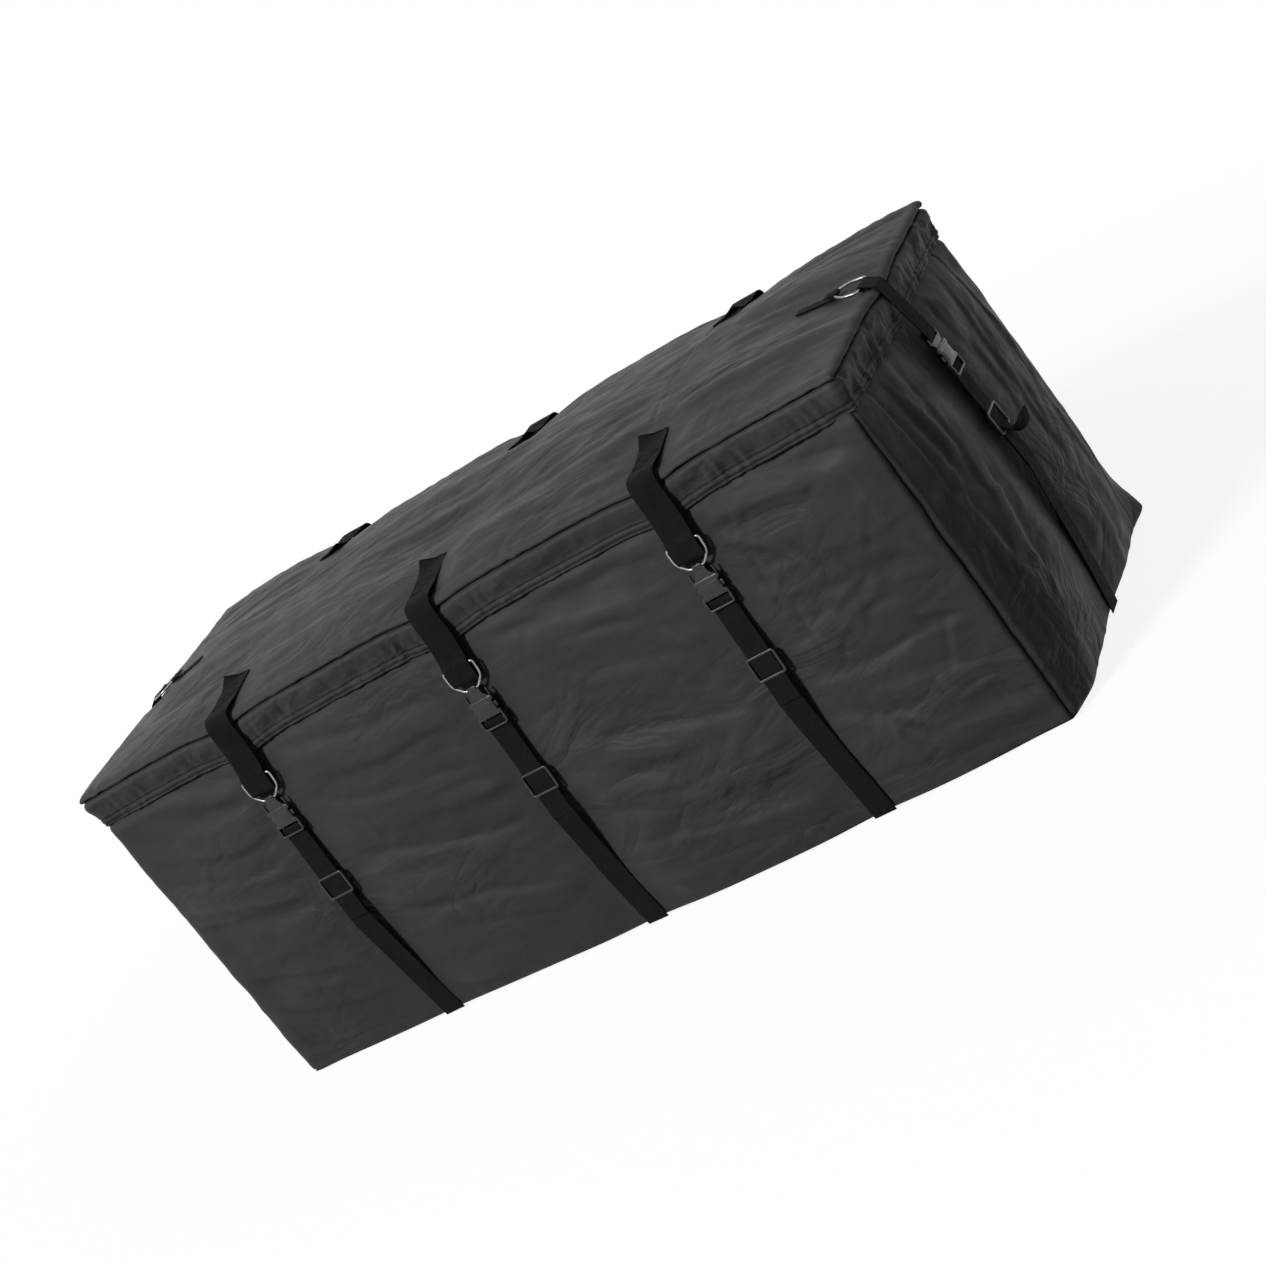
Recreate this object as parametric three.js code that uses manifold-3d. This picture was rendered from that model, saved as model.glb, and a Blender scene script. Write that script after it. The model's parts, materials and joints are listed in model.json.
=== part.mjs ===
// Soft roof cargo bag, stuffed: a box of coated cloth panels, a zip under a storm flap round three
// sides of the lid, and eight webbing straps with side-release buckles and strap sliders.
// Millimetres, +X to the right end, +Y to the back, +Z up; origin at the middle of the base's underside.

import * as THREE from 'three';
import { mergeVertices } from 'three/addons/utils/BufferGeometryUtils.js';
import Module from 'manifold-3d';

const wasm = await Module();
wasm.setup();

// Cloth box
const bagLength = 1500;
const bagWidth = 610;
const bagHeight = 610;
const clothThickness = 2.4;
const seamGap = 0.4;
const wallInset = 9;
const sideBulge = 42;
const endBulge = 38;
const lidBulge = 30;
const footBow = 34;
const endFootBow = 22;
const foldHeight = 4.5;
const edgeDip = 7;
const dipReach = 52;
const strapDent = 0.3;
const dentReach = 80;

// Shallow folds of the stuffed cloth, as waves over the panels
const sideFold = { rise: 0.021, lean: 2.4, run: 5.2, drift: 0.004 };
const endFold = { run: 7.5, drift: 0.004, fade: 0.4 };
const lidFold = { across: 6.4, lean: 2.1, along: 3.6 };

// Storm flap and zip
const flapThickness = 1.5;
const flapDrop = 66;
const flapLift = 2;
const flapPucker = 3.2;
const flapStraight = 28;
const zipDrop = 19;
const zipZone = 44;
const tapeThickness = 1.2;
const chainHeight = 2.8;
const chainThickness = 3;
const chainSlit = 1.8;
const zipSliderX = 125;
const zipSliderLength = 15;
const zipSliderHeight = 11;
const zipPlate = 1.3;
const runGap = 0.4;
const pullLength = 20;
const pullWidth = 6;
const pullNeck = 3;
const pullTop = 3;
const pullThickness = 1.4;
const pullShoulder = 7;
const bridgeHeight = 2.4;
const bridgeWire = 1.2;
const bridgeLength = 10;
const plateOverlap = 0.2;
const sliderWebLength = 6;

// Webbing
const webThickness = 1.6;
const topWebWidth = 48;
const sideWebWidth = 38;
const tabWidth = 20;
const webClearance = 0.6;
const strapPitch = 425;
const topWebInset = 110;
const tabInset = 130;
const foldTail = 26;
const shortTail = 13;

// Hardware of one strap, measured down the strap from the ring's wide bar
const wireRadius = 2;
const ringWide = 60;
const ringNarrow = 23;
const ringLength = 40;
const plugHeadWidth = 16;
const plugHeadHeight = 10;
const plugWidth = 40;
const plugThickness = 6;
const plugShoulder = 1;
const plugRail = 3.6;
const plugSlotTop = 9;
const headBarWall = 0.45;
const prongInset = 6;
const prongThickness = 3;
const prongReach = 8;
const prongCatch = 10;
const guideWidth = 5;
const webbingSlack = 0.8;
const socketTop = 58;
const socketLength = 50;
const socketWidth = 46;
const socketThickness = 12.6;
const socketBlock = 32;
const socketWall = 1.6;
const socketFloor = 3;
const windowStart = 6;
const windowEnd = 26;
const windowDepth = 5;
const catchGap = 0.6;
const lowerBarThickness = 4;
const ladderRise = 12;
const ladderBarRadius = 1.6;
const lowerBarHeight = 4;
const sliderHeight = 40;
const sliderWidth = 50;
const sliderBar = 4;
const sliderPlate = 2;
const sliderDrop = 212;
const endSliderDrop = 196;
const stitchedEnd = 275;
const strapStandOff = 4.8;
const frontRingDrop = 105;
const endRingDrop = 71;
const lidRingInset = 22;

// Facets of the cloth panels and of what is sewn round them
const frontColumns = 24;
const endColumns = 10;
const wallRows = 9;
const baseRows = 4;
const puckersPerColumn = 2;

const cloth = { color: 0x3a3b3d, roughness: 0.62, metalness: 0 };
const webbing = { color: 0x1b1b1c, roughness: 0.85, metalness: 0 };
const plastic = { color: 0x141415, roughness: 0.4, metalness: 0 };
const steel = { color: 0x8d8f92, roughness: 0.35, metalness: 1 };

const bag = new THREE.Group();
const halfLength = bagLength / 2;
const halfWidth = bagWidth / 2;
const wallTop = bagHeight - zipZone;
const lidUnderside = bagHeight - clothThickness - seamGap;
const stackDepth = wireRadius + webClearance + webThickness / 2;
const bridgeGap = pullThickness + 2 * runGap;
const strapStations = [-strapPitch, 0, strapPitch];

function addPiece(name, geometry, look, parent = bag) {
  const mesh = new THREE.Mesh(geometry, new THREE.MeshStandardMaterial(look));
  mesh.name = name;
  parent.add(mesh);
  return mesh;
}

// Form of the stuffed box. a and b run from -1 to 1 along X and Y, and z is the height.

const dome = (t, power) => 1 - Math.min(1, Math.abs(t)) ** power;
const hill = (distance, reach) => Math.exp(-((distance / reach) ** 2));
const nearStraps = (x, reach) => strapStations.reduce((sum, at) => sum + hill(x - at, reach), 0);

function wallArc(z) {
  return dome((2 * z) / wallTop - 1, 2.4);
}

function sidePush(a, z) {
  const x = a * halfLength;
  const swell = sideBulge * dome(a, 6) * wallArc(z) * (1 - strapDent * nearStraps(x, dentReach));
  const uneven = 0.68 + 0.32 * Math.tanh(4 * a + 0.8);
  const foot = footBow * dome(a, 4) * uneven * (1 - strapDent * nearStraps(x, dentReach));
  const slope = (bagHeight - z) / bagHeight;
  const waves = Math.sin(sideFold.rise * z + sideFold.lean * a);
  const folds = waves * Math.cos(sideFold.run * a + sideFold.drift * z);
  return swell + foot * slope ** 3 * (z < wallTop ? 1 : 0) + foldHeight * folds * wallArc(z) * dome(a, 8);
}

function endPush(b, z) {
  const swell = endBulge * dome(b, 4) * wallArc(z) * (1 - strapDent * hill(b * halfWidth, dentReach));
  const foot = endFootBow * dome(b, 4) * (1 - strapDent * hill(b * halfWidth, dentReach));
  const slope = (bagHeight - z) / bagHeight;
  const folds = Math.sin(endFold.run * b + endFold.drift * z * b) * (endFold.fade + z / bagHeight);
  return swell + foot * slope ** 3 * (z < wallTop ? 1 : 0) + foldHeight * folds * wallArc(z) * dome(b, 6);
}

function lidPush(a, b) {
  const x = a * halfLength;
  const y = b * halfWidth;
  const swell = lidBulge * dome(a, 5) * dome(b, 2.2) * (1 - 0.5 * strapDent * nearStraps(x, 1.3 * dentReach));
  const sideDip = edgeDip * nearStraps(x, dipReach) * Math.abs(b) ** 5;
  const endDip = edgeDip * hill(y, dipReach) * Math.abs(a) ** 9;
  const folds = Math.sin(lidFold.across * b + lidFold.lean * a) * Math.cos(lidFold.along * a);
  return swell - sideDip - endDip + foldHeight * folds * dome(a, 6) * dome(b, 6);
}

const topFollow = (z) => THREE.MathUtils.smoothstep(z, 0.6 * bagHeight, wallTop - flapDrop / 2);

function skin(a, b, z, inset) {
  const push = Math.max(0, Math.min(z, wallTop));
  const x = a * (halfLength - inset) + Math.sign(a) * Math.abs(a) ** 8 * endPush(b, push);
  const y = b * (halfWidth - inset) + Math.sign(b) * Math.abs(b) ** 8 * sidePush(a, push);
  return [x, y, z + topFollow(z) * lidPush(a, b)];
}

// A point over the panels' own facets, so that what is sewn along their edges follows them.
function sewnPoint(a, b, z, inset) {
  const isFront = Math.abs(b) === 1;
  const columns = isFront ? frontColumns : endColumns;
  const place = (((isFront ? a : b) + 1) / 2) * columns;
  const cell = Math.min(columns - 1, Math.floor(place + 1e-6));
  const [low, high] = [cell, cell + 1].map((edge) => {
    const t = (2 * edge) / columns - 1;
    return isFront ? skin(t, b, z, inset) : skin(a, t, z, inset);
  });
  return low.map((value, axis) => THREE.MathUtils.lerp(value, high[axis], place - cell));
}

// Closed solids

function closedGeometry(positions, index) {
  const geometry = new THREE.BufferGeometry();
  geometry.setAttribute('position', new THREE.Float32BufferAttribute(positions, 3));
  geometry.setIndex(index);
  const [p, q, r] = [new THREE.Vector3(), new THREE.Vector3(), new THREE.Vector3()];
  const attribute = geometry.attributes.position;
  let volume = 0;
  for (let i = 0; i < index.length; i += 3) {
    p.fromBufferAttribute(attribute, index[i]);
    q.fromBufferAttribute(attribute, index[i + 1]);
    r.fromBufferAttribute(attribute, index[i + 2]);
    volume += p.dot(q.cross(r));
  }
  if (volume < 0) {
    geometry.setIndex(index.slice().reverse());
  }
  return geometry;
}

// A sheet with two faces: at(u, v, 0) is its outer face and at(u, v, 1) its inner face.
function sheet(columns, rows, at) {
  const positions = [];
  const index = [];
  const across = columns + 1;
  const layer = across * (rows + 1);
  const node = (i, j, face) => face * layer + j * across + i;
  const quad = (p, q, r, s) => index.push(p, q, r, p, r, s);
  for (const face of [0, 1]) {
    for (let j = 0; j <= rows; j += 1) {
      for (let i = 0; i <= columns; i += 1) {
        positions.push(...at(i / columns, j / rows, face));
      }
    }
  }
  for (let j = 0; j < rows; j += 1) {
    for (let i = 0; i < columns; i += 1) {
      quad(node(i, j, 0), node(i + 1, j, 0), node(i + 1, j + 1, 0), node(i, j + 1, 0));
      quad(node(i, j + 1, 1), node(i + 1, j + 1, 1), node(i + 1, j, 1), node(i, j, 1));
    }
  }
  for (let i = 0; i < columns; i += 1) {
    quad(node(i, 0, 0), node(i, 0, 1), node(i + 1, 0, 1), node(i + 1, 0, 0));
    quad(node(i + 1, rows, 0), node(i + 1, rows, 1), node(i, rows, 1), node(i, rows, 0));
  }
  for (let j = 0; j < rows; j += 1) {
    quad(node(0, j + 1, 0), node(0, j + 1, 1), node(0, j, 1), node(0, j, 0));
    quad(node(columns, j, 0), node(columns, j, 1), node(columns, j + 1, 1), node(columns, j + 1, 0));
  }
  return closedGeometry(positions, index);
}

// A flat outline carried along stations: place(station, point) gives each corner's position.
function sweep(outline, stations, place, closed = false) {
  const positions = [];
  const index = [];
  const around = outline.length;
  for (const station of stations) {
    for (const point of outline) {
      positions.push(...place(station, point));
    }
  }
  const spans = closed ? stations.length : stations.length - 1;
  for (let i = 0; i < spans; i += 1) {
    const here = i * around;
    const next = ((i + 1) % stations.length) * around;
    for (let k = 0; k < around; k += 1) {
      const l = (k + 1) % around;
      index.push(here + k, next + k, next + l, here + k, next + l, here + l);
    }
  }
  if (!closed) {
    const flat = outline.map((point) => new THREE.Vector2(point[0], point[1]));
    const last = (stations.length - 1) * around;
    const turned = THREE.ShapeUtils.isClockWise(flat) ? -1 : 1;
    for (const [i, j, k] of THREE.ShapeUtils.triangulateShape(flat, [])) {
      const [near, far] = turned > 0 ? [[i, j, k], [k, j, i]] : [[k, j, i], [i, j, k]];
      index.push(...near);
      index.push(last + far[0], last + far[1], last + far[2]);
    }
  }
  return closedGeometry(positions, index);
}

function welded(geometry) {
  const bare = geometry.clone();
  bare.deleteAttribute('normal');
  bare.deleteAttribute('uv');
  return mergeVertices(bare, 1e-4);
}

function toSolid(geometry) {
  const merged = welded(geometry);
  const vertProperties = new Float32Array(merged.attributes.position.array);
  const triVerts = new Uint32Array(merged.index.array);
  return new wasm.Manifold(new wasm.Mesh({ numProp: 3, vertProperties, triVerts }));
}

function fromSolid(solid) {
  const mesh = solid.getMesh();
  const geometry = new THREE.BufferGeometry();
  geometry.setAttribute('position', new THREE.BufferAttribute(new Float32Array(mesh.vertProperties), 3));
  geometry.setIndex(new THREE.BufferAttribute(new Uint32Array(mesh.triVerts), 1));
  return geometry;
}

function combine(added, removed = []) {
  let solid = toSolid(added[0]);
  for (const geometry of added.slice(1)) {
    solid = solid.add(toSolid(geometry));
  }
  for (const geometry of removed) {
    solid = solid.subtract(toSolid(geometry));
  }
  return fromSolid(solid);
}

// Box between two corners given as [x, y, z].
function block(low, high) {
  const size = high.map((value, axis) => value - low[axis]);
  const geometry = new THREE.BoxGeometry(...size);
  return geometry.translate(...low.map((value, axis) => value + size[axis] / 2));
}

// Cloth panels

const cornerTrim = (half) => seamGap / (2 * half);

function wallSheet(columns, place, top = wallTop) {
  const low = clothThickness + seamGap;
  return sheet(columns, wallRows, (u, v, face) => {
    const z = THREE.MathUtils.lerp(low, top, v);
    return place(THREE.MathUtils.lerp(-1, 1, u), z, wallInset + face * clothThickness);
  });
}

const trimA = 1 - cornerTrim(halfLength);
const trimB = 1 - cornerTrim(halfWidth);
const sidePlace = (side) => (t, z, inset) => skin(t * trimA, side, z, inset);
const endPlace = (side) => (t, z, inset) => skin(side, t * trimB, z, inset);
const frontPanel = addPiece('front_panel', wallSheet(frontColumns, sidePlace(-1)), cloth);
const backPanel = addPiece('back_panel', wallSheet(frontColumns, sidePlace(1), lidUnderside), cloth);
const leftEndPanel = addPiece('left_end_panel', wallSheet(endColumns, endPlace(-1)), cloth);
const rightEndPanel = addPiece('right_end_panel', wallSheet(endColumns, endPlace(1)), cloth);

const lidPanel = addPiece('lid_panel', sheet(frontColumns, endColumns, (u, v, face) => {
  const [x, y, z] = skin(2 * u - 1, 2 * v - 1, bagHeight, 0);
  return [x, y, z - face * clothThickness];
}), cloth);

addPiece('base_panel', sheet(frontColumns, baseRows, (u, v, face) => {
  const [x, y] = skin(2 * u - 1, 2 * v - 1, 0, 0);
  return [x, y, face * clothThickness];
}), cloth);

// Storm flap and zip, carried round the left end, the front and the right end

function threeSides(stepsPerColumn) {
  const stations = [];
  const back = 1 - (clothThickness + seamGap) / (halfWidth - wallInset);
  const endSteps = stepsPerColumn * endColumns;
  const frontSteps = stepsPerColumn * frontColumns;
  for (let i = endSteps; i > 0; i -= 1) {
    stations.push({ a: -1, b: Math.min(back, (2 * i) / endSteps - 1), run: stations.length });
  }
  for (let i = 0; i < frontSteps; i += 1) {
    stations.push({ a: (2 * i) / frontSteps - 1, b: -1, run: stations.length });
  }
  for (let i = 0; i <= endSteps; i += 1) {
    stations.push({ a: 1, b: Math.min(back, (2 * i) / endSteps - 1), run: stations.length });
  }
  return stations;
}

const flapHem = bagHeight - flapDrop;
const chainLine = bagHeight - zipDrop;
const chainInset = wallInset + chainThickness / 2;
const hemInset = wallInset - flapLift - flapThickness;
const tapeOuter = chainInset - tapeThickness / 2;
const tapeInner = chainInset + tapeThickness / 2;
const chainOuter = chainInset - chainThickness / 2;
const chainInner = chainInset + chainThickness / 2;
const upperChain = chainLine + chainSlit / 2;
const lowerChain = chainLine - chainSlit / 2;

// Corners of the flap's section as [inset, z, pucker share]; its inner leg is the upper zip tape.
const flapOutline = [
  [0, lidUnderside, 0],
  [0, lidUnderside - flapStraight, 0.4],
  [hemInset, flapHem, 1],
  [hemInset + flapThickness, flapHem, 1],
  [flapThickness, lidUnderside - flapStraight, 0.4],
  [flapThickness, lidUnderside - flapThickness, 0],
  [tapeOuter, lidUnderside - flapThickness, 0],
  [tapeOuter, upperChain + chainHeight, 0],
  [chainOuter, upperChain + chainHeight, 0],
  [chainOuter, upperChain, 0],
  [chainInner, upperChain, 0],
  [chainInner, upperChain + chainHeight, 0],
  [tapeInner, upperChain + chainHeight, 0],
  [tapeInner, lidUnderside, 0],
];
const pucker = (run) => flapPucker * (0.5 + 0.5 * Math.sin(2.3 * run + 1.4 * Math.sin(0.7 * run)));
const stormFlap = addPiece('storm_flap', sweep(flapOutline, threeSides(puckersPerColumn), ({ a, b, run }, point) => {
  const [inset, z, share] = point;
  return sewnPoint(a, b, z, inset - share * pucker(run));
}), cloth);

const lowerTapeOutline = [
  [chainOuter, lowerChain],
  [chainInner, lowerChain],
  [chainInner, lowerChain - chainHeight],
  [tapeInner, lowerChain - chainHeight],
  [tapeInner, wallTop + seamGap],
  [tapeOuter, wallTop + seamGap],
  [tapeOuter, lowerChain - chainHeight],
  [chainOuter, lowerChain - chainHeight],
];
addPiece('zip_lower_tape', sweep(lowerTapeOutline, threeSides(1), ({ a, b }, point) => {
  return sewnPoint(a, b, point[1], point[0]);
}), webbing);

// Zip slider: two plates joined by a web in the slit between the chains, with a bridge for its pull.
const zipSlider = new THREE.Group();
zipSlider.position.set(zipSliderX, -halfWidth, chainLine);
bag.add(zipSlider);
const plateOuter = chainOuter - runGap - zipPlate;
const plateInner = chainInner + runGap + zipPlate;
const halfSlider = zipSliderLength / 2;
const webHalf = chainSlit / 2 - runGap;
const bridgeTop = plateOuter - bridgeGap - bridgeWire;
const bridgeRoot = plateOuter + plateOverlap;
const halfBridge = bridgeLength / 2;
addPiece('zip_slider', combine([
  block([-halfSlider, plateOuter, -zipSliderHeight / 2], [halfSlider, plateOuter + zipPlate, zipSliderHeight / 2]),
  block([-halfSlider, plateInner - zipPlate, -zipSliderHeight / 2], [halfSlider, plateInner, zipSliderHeight / 2]),
  block([halfSlider - sliderWebLength, plateOuter, -webHalf], [halfSlider, plateInner, webHalf]),
  block([-halfBridge, bridgeTop, -bridgeHeight / 2], [halfBridge, bridgeTop + bridgeWire, bridgeHeight / 2]),
  block([-halfBridge, bridgeTop, -bridgeHeight / 2], [bridgeWire - halfBridge, bridgeRoot, bridgeHeight / 2]),
  block([halfBridge - bridgeWire, bridgeTop, -bridgeHeight / 2], [halfBridge, bridgeRoot, bridgeHeight / 2]),
]), steel, zipSlider);

// The pull hangs from the bridge by its eye and swings in the plane of the wall.
const pullInset = bridgeTop + bridgeWire + runGap;
const pullOutline = new THREE.Shape();
pullOutline.moveTo(-pullNeck / 2, pullTop);
pullOutline.lineTo(-pullNeck / 2, 1 - pullShoulder);
pullOutline.lineTo(-pullWidth / 2, -pullShoulder);
pullOutline.lineTo(-pullWidth / 2, pullTop - pullLength);
pullOutline.lineTo(pullWidth / 2, pullTop - pullLength);
pullOutline.lineTo(pullWidth / 2, -pullShoulder);
pullOutline.lineTo(pullNeck / 2, 1 - pullShoulder);
pullOutline.lineTo(pullNeck / 2, pullTop);
const pullBody = new THREE.ExtrudeGeometry(pullOutline, { depth: pullThickness, bevelEnabled: false });
pullBody.rotateX(Math.PI / 2);
pullBody.translate(0, pullInset + pullThickness, 0);
addPiece('zip_pull', pullBody, steel, zipSlider);

// Straps. Each works in the upright plane across its wall: w points out of the wall, z up.

const ray = new THREE.Raycaster();
bag.updateMatrixWorld(true);

function reach(meshes, turn, from, direction) {
  const axis = new THREE.Vector3(0, 0, 1);
  const origin = new THREE.Vector3(...from).applyAxisAngle(axis, turn);
  ray.set(origin, new THREE.Vector3(...direction).applyAxisAngle(axis, turn));
  const hits = ray.intersectObjects(meshes, false);
  return hits.length ? hits[0].distance : null;
}

// Highest lid point, and outermost wall point, under a strip of the given width.
function lidHeight(side, w, width) {
  const start = 2 * bagHeight;
  const found = [-0.5, -0.25, 0, 0.25, 0.5].map((share) => {
    return reach([lidPanel], side.turn, [side.across + share * width, -w, start], [0, 0, -1]);
  });
  return start - Math.min(...found.filter((value) => value !== null));
}

function wallReach(side, z, width) {
  const start = side.half + bagWidth;
  const found = [-0.5, -0.25, 0, 0.25, 0.5].map((share) => {
    return reach([side.panel, stormFlap], side.turn, [side.across + share * width, -start, z], [0, 1, 0]);
  });
  return start - Math.min(...found.filter((value) => value !== null));
}

const samples = (low, high, step) => {
  const count = Math.max(1, Math.round(Math.abs(high - low) / step));
  return Array.from({ length: count + 1 }, (_, i) => THREE.MathUtils.lerp(low, high, i / count));
};

// Taut path from the first point to the last that leaves every other point on its inner side.
function tautPath(points) {
  const path = [points[0]];
  const last = points[points.length - 1];
  while (path[path.length - 1] !== last) {
    const here = path[path.length - 1];
    const ahead = points.slice(points.indexOf(here) + 1);
    path.push(ahead.reduce((best, point) => {
      const cross = best.clone().sub(here).cross(point.clone().sub(here));
      return cross > 0 ? point : best;
    }));
  }
  return path;
}

// Webbing folded along a centre line in the (w, z) plane.
function webBand(line, width) {
  const half = webThickness / 2;
  const left = [];
  const right = [];
  line.forEach((point, i) => {
    const before = line[Math.max(0, i - 1)];
    const after = line[Math.min(line.length - 1, i + 1)];
    const inward = point.clone().sub(before).normalize();
    const outward = after.clone().sub(point).normalize();
    const normal = new THREE.Vector2(-inward.y - outward.y, inward.x + outward.x).normalize();
    const square = i === 0 ? outward : inward;
    const miter = half / Math.max(0.5, normal.dot(new THREE.Vector2(-square.y, square.x)));
    left.push(point.clone().addScaledVector(normal, miter));
    right.push(point.clone().addScaledVector(normal, -miter));
  });
  const shape = new THREE.Shape([...right, ...left.reverse()]);
  const band = new THREE.ExtrudeGeometry(shape, { depth: width, bevelEnabled: false });
  const corners = welded(band);
  const { array } = corners.attributes.position;
  const positions = [];
  for (let i = 0; i < array.length; i += 3) {
    positions.push(array[i + 2] - width / 2, -array[i], array[i + 1]);
  }
  return closedGeometry(positions, Array.from(corners.index.array));
}

// Half turn of a band round a bar, from one side of it to the other.
function halfTurn(centre, start, radius, turnSign) {
  return [0, 1, 2, 3, 4].map((i) => {
    const angle = start + (turnSign * i * Math.PI) / 4;
    return new THREE.Vector2(centre.x + radius * Math.cos(angle), centre.y + radius * Math.sin(angle));
  });
}

// The straight run that carries a strap's hardware: s runs down it, n out of it.
function stackLine(side) {
  const heights = samples(side.ringHeight, side.ringHeight - stitchedEnd, 12);
  const points = heights.map((z) => new THREE.Vector2(wallReach(side, z, sliderWidth), z));
  const top = points[0];
  const down = points[points.length - 1].clone().sub(top).normalize();
  const out = new THREE.Vector2(-down.y, down.x);
  const lift = Math.max(...points.map((point) => point.clone().sub(top).dot(out))) + strapStandOff;
  const origin = top.clone().addScaledVector(out, lift);
  const at = (s, n) => origin.clone().addScaledVector(down, s).addScaledVector(out, n);
  return { origin, down, out, at, slant: Math.atan2(down.x, -down.y) };
}

function ringGeometry() {
  const wide = ringWide / 2;
  const narrow = ringNarrow / 2;
  const outline = new THREE.Shape();
  outline.moveTo(0, 0);
  outline.lineTo(wide - 4, 0);
  outline.quadraticCurveTo(wide, 0, wide - 1, -5);
  outline.lineTo(narrow + 3, 5 - ringLength);
  outline.quadraticCurveTo(narrow + 0.5, -ringLength, narrow - 2, -ringLength);
  outline.lineTo(2 - narrow, -ringLength);
  outline.quadraticCurveTo(-narrow - 0.5, -ringLength, -narrow - 3, 5 - ringLength);
  outline.lineTo(1 - wide, -5);
  outline.quadraticCurveTo(-wide, 0, 4 - wide, 0);
  const centres = outline.getPoints(3).slice(0, -1);
  const section = [0, 1, 2, 3, 4, 5].map((i) => {
    return [wireRadius * Math.cos((i * Math.PI) / 3), wireRadius * Math.sin((i * Math.PI) / 3)];
  });
  const stations = centres.map((centre, i) => {
    const before = centres[(i + centres.length - 1) % centres.length];
    const after = centres[(i + 1) % centres.length];
    const along = after.clone().sub(before).normalize();
    return { centre, side: new THREE.Vector2(-along.y, along.x) };
  });
  return sweep(section, stations, ({ centre, side }, point) => {
    return [centre.x + side.x * point[0], point[1], centre.y + side.y * point[0]];
  }, true);
}

// Plug of a side-release buckle. A narrow head takes the ring's short bar; a wide one takes webbing.
function plugGeometry(wideHead) {
  const half = plugThickness / 2;
  const shoulder = -ringLength - wireRadius - seamGap - plugShoulder;
  const tip = -socketTop - socketBlock + prongReach;
  const arm = plugWidth / 2 - prongInset;
  const root = plugShoulder - socketTop;
  const bodyLow = 2 * seamGap - socketTop;
  const catchLow = tip + 2;
  const catchTop = catchLow + prongCatch;
  const catchOut = socketWidth / 2 - catchGap;
  const added = [
    block([-plugWidth / 2, -half, bodyLow], [plugWidth / 2, half, shoulder]),
    block([-guideWidth / 2, -half, tip + 4], [guideWidth / 2, half, root]),
    block([-arm - prongThickness, -half, tip], [-arm, half, root]),
    block([arm, -half, tip], [arm + prongThickness, half, root]),
    block([-catchOut, -half, catchLow], [-arm - 1, half, catchTop]),
    block([arm + 1, -half, catchLow], [catchOut, half, catchTop]),
  ];
  const boreRadius = wireRadius + headBarWall;
  const bar = new THREE.CylinderGeometry(boreRadius, boreRadius, plugWidth * 2, 8);
  bar.rotateZ(Math.PI / 2);
  bar.translate(0, 0, -ringLength);
  if (wideHead) {
    const slot = sideWebWidth / 2 + webbingSlack;
    const head = slot + plugRail;
    const slotLow = -ringLength - stackDepth - webThickness;
    const slotTop = plugSlotTop - ringLength;
    added.push(block([-head, -half, slotLow - guideWidth], [head, half, wireRadius - ringLength]));
    const rod = new THREE.CylinderGeometry(wireRadius, wireRadius, 2 * head - 2, 8);
    rod.rotateZ(Math.PI / 2);
    rod.translate(0, 0, -ringLength);
    const frame = combine(added, [block([-slot, -plugThickness, slotLow], [slot, plugThickness, slotTop])]);
    return combine([frame, rod]);
  }
  const headTop = plugHeadHeight / 2 - ringLength;
  added.push(block([-plugHeadWidth / 2, -half - 1, shoulder - 1], [plugHeadWidth / 2, half + 1, headTop]));
  return combine(added, [bar]);
}

function socketGeometry() {
  const half = socketThickness / 2;
  const wide = socketWidth / 2;
  const top = -socketTop;
  const blockLow = top - socketBlock;
  const low = top - socketLength;
  const mouth = plugThickness / 2 + seamGap;
  const railIn = sideWebWidth / 2 + webbingSlack;
  const windowTop = top - windowStart;
  const windowLow = top - windowEnd;
  const windowIn = wide - windowDepth;
  const bar = new THREE.CylinderGeometry(ladderBarRadius, ladderBarRadius, socketWidth - 3, 8);
  bar.rotateZ(Math.PI / 2);
  bar.translate(0, ladderPlane(), ladderHeight());
  return combine([
    block([-wide, -half, blockLow], [wide, half, top]),
    block([-wide, -half + 1, low], [-railIn, half - 1, blockLow + 1]),
    block([railIn, -half + 1, low], [wide, half - 1, blockLow + 1]),
    block([-wide, -half, low], [wide, -half + lowerBarThickness, low + lowerBarHeight]),
    bar,
  ], [
    block([-wide + socketWall, -mouth, blockLow + socketFloor], [wide - socketWall, mouth, top + 1]),
    block([-wide - 1, -mouth, windowLow], [-windowIn, mouth, windowTop]),
    block([windowIn, -mouth, windowLow], [wide + 1, mouth, windowTop]),
  ]);
}

// The ladder bar's axis, in the socket's own frame: webbing turns over it.
function ladderPlane() {
  return hardwarePlane - (ladderBarRadius + webClearance / 2 + webThickness / 2);
}

function ladderHeight() {
  return ladderRise - socketTop - socketLength;
}

// Strap slider: two end bars pass in front of the webbing and the middle bar behind it.
function sliderGeometry() {
  const wide = sliderWidth / 2;
  const railIn = sideWebWidth / 2 + 1;
  const behind = webThickness / 2 + runGap;
  const before = 1.5 * webThickness + 2 * runGap;
  const half = sliderHeight / 2;
  const rail = [-before - sliderPlate, behind + sliderPlate];
  return combine([
    block([-wide, rail[0], -half], [-railIn, rail[1], half]),
    block([railIn, rail[0], -half], [wide, rail[1], half]),
    block([-wide, rail[0], -half], [wide, -before, sliderBar - half]),
    block([-wide, rail[0], half - sliderBar], [wide, -before, half]),
    block([-wide, behind, -sliderBar / 2], [wide, rail[1], sliderBar / 2]),
  ]);
}

// The hardware's middle plane stands this far out of the inner webbing.
const hardwarePlane = stackDepth;

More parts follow.
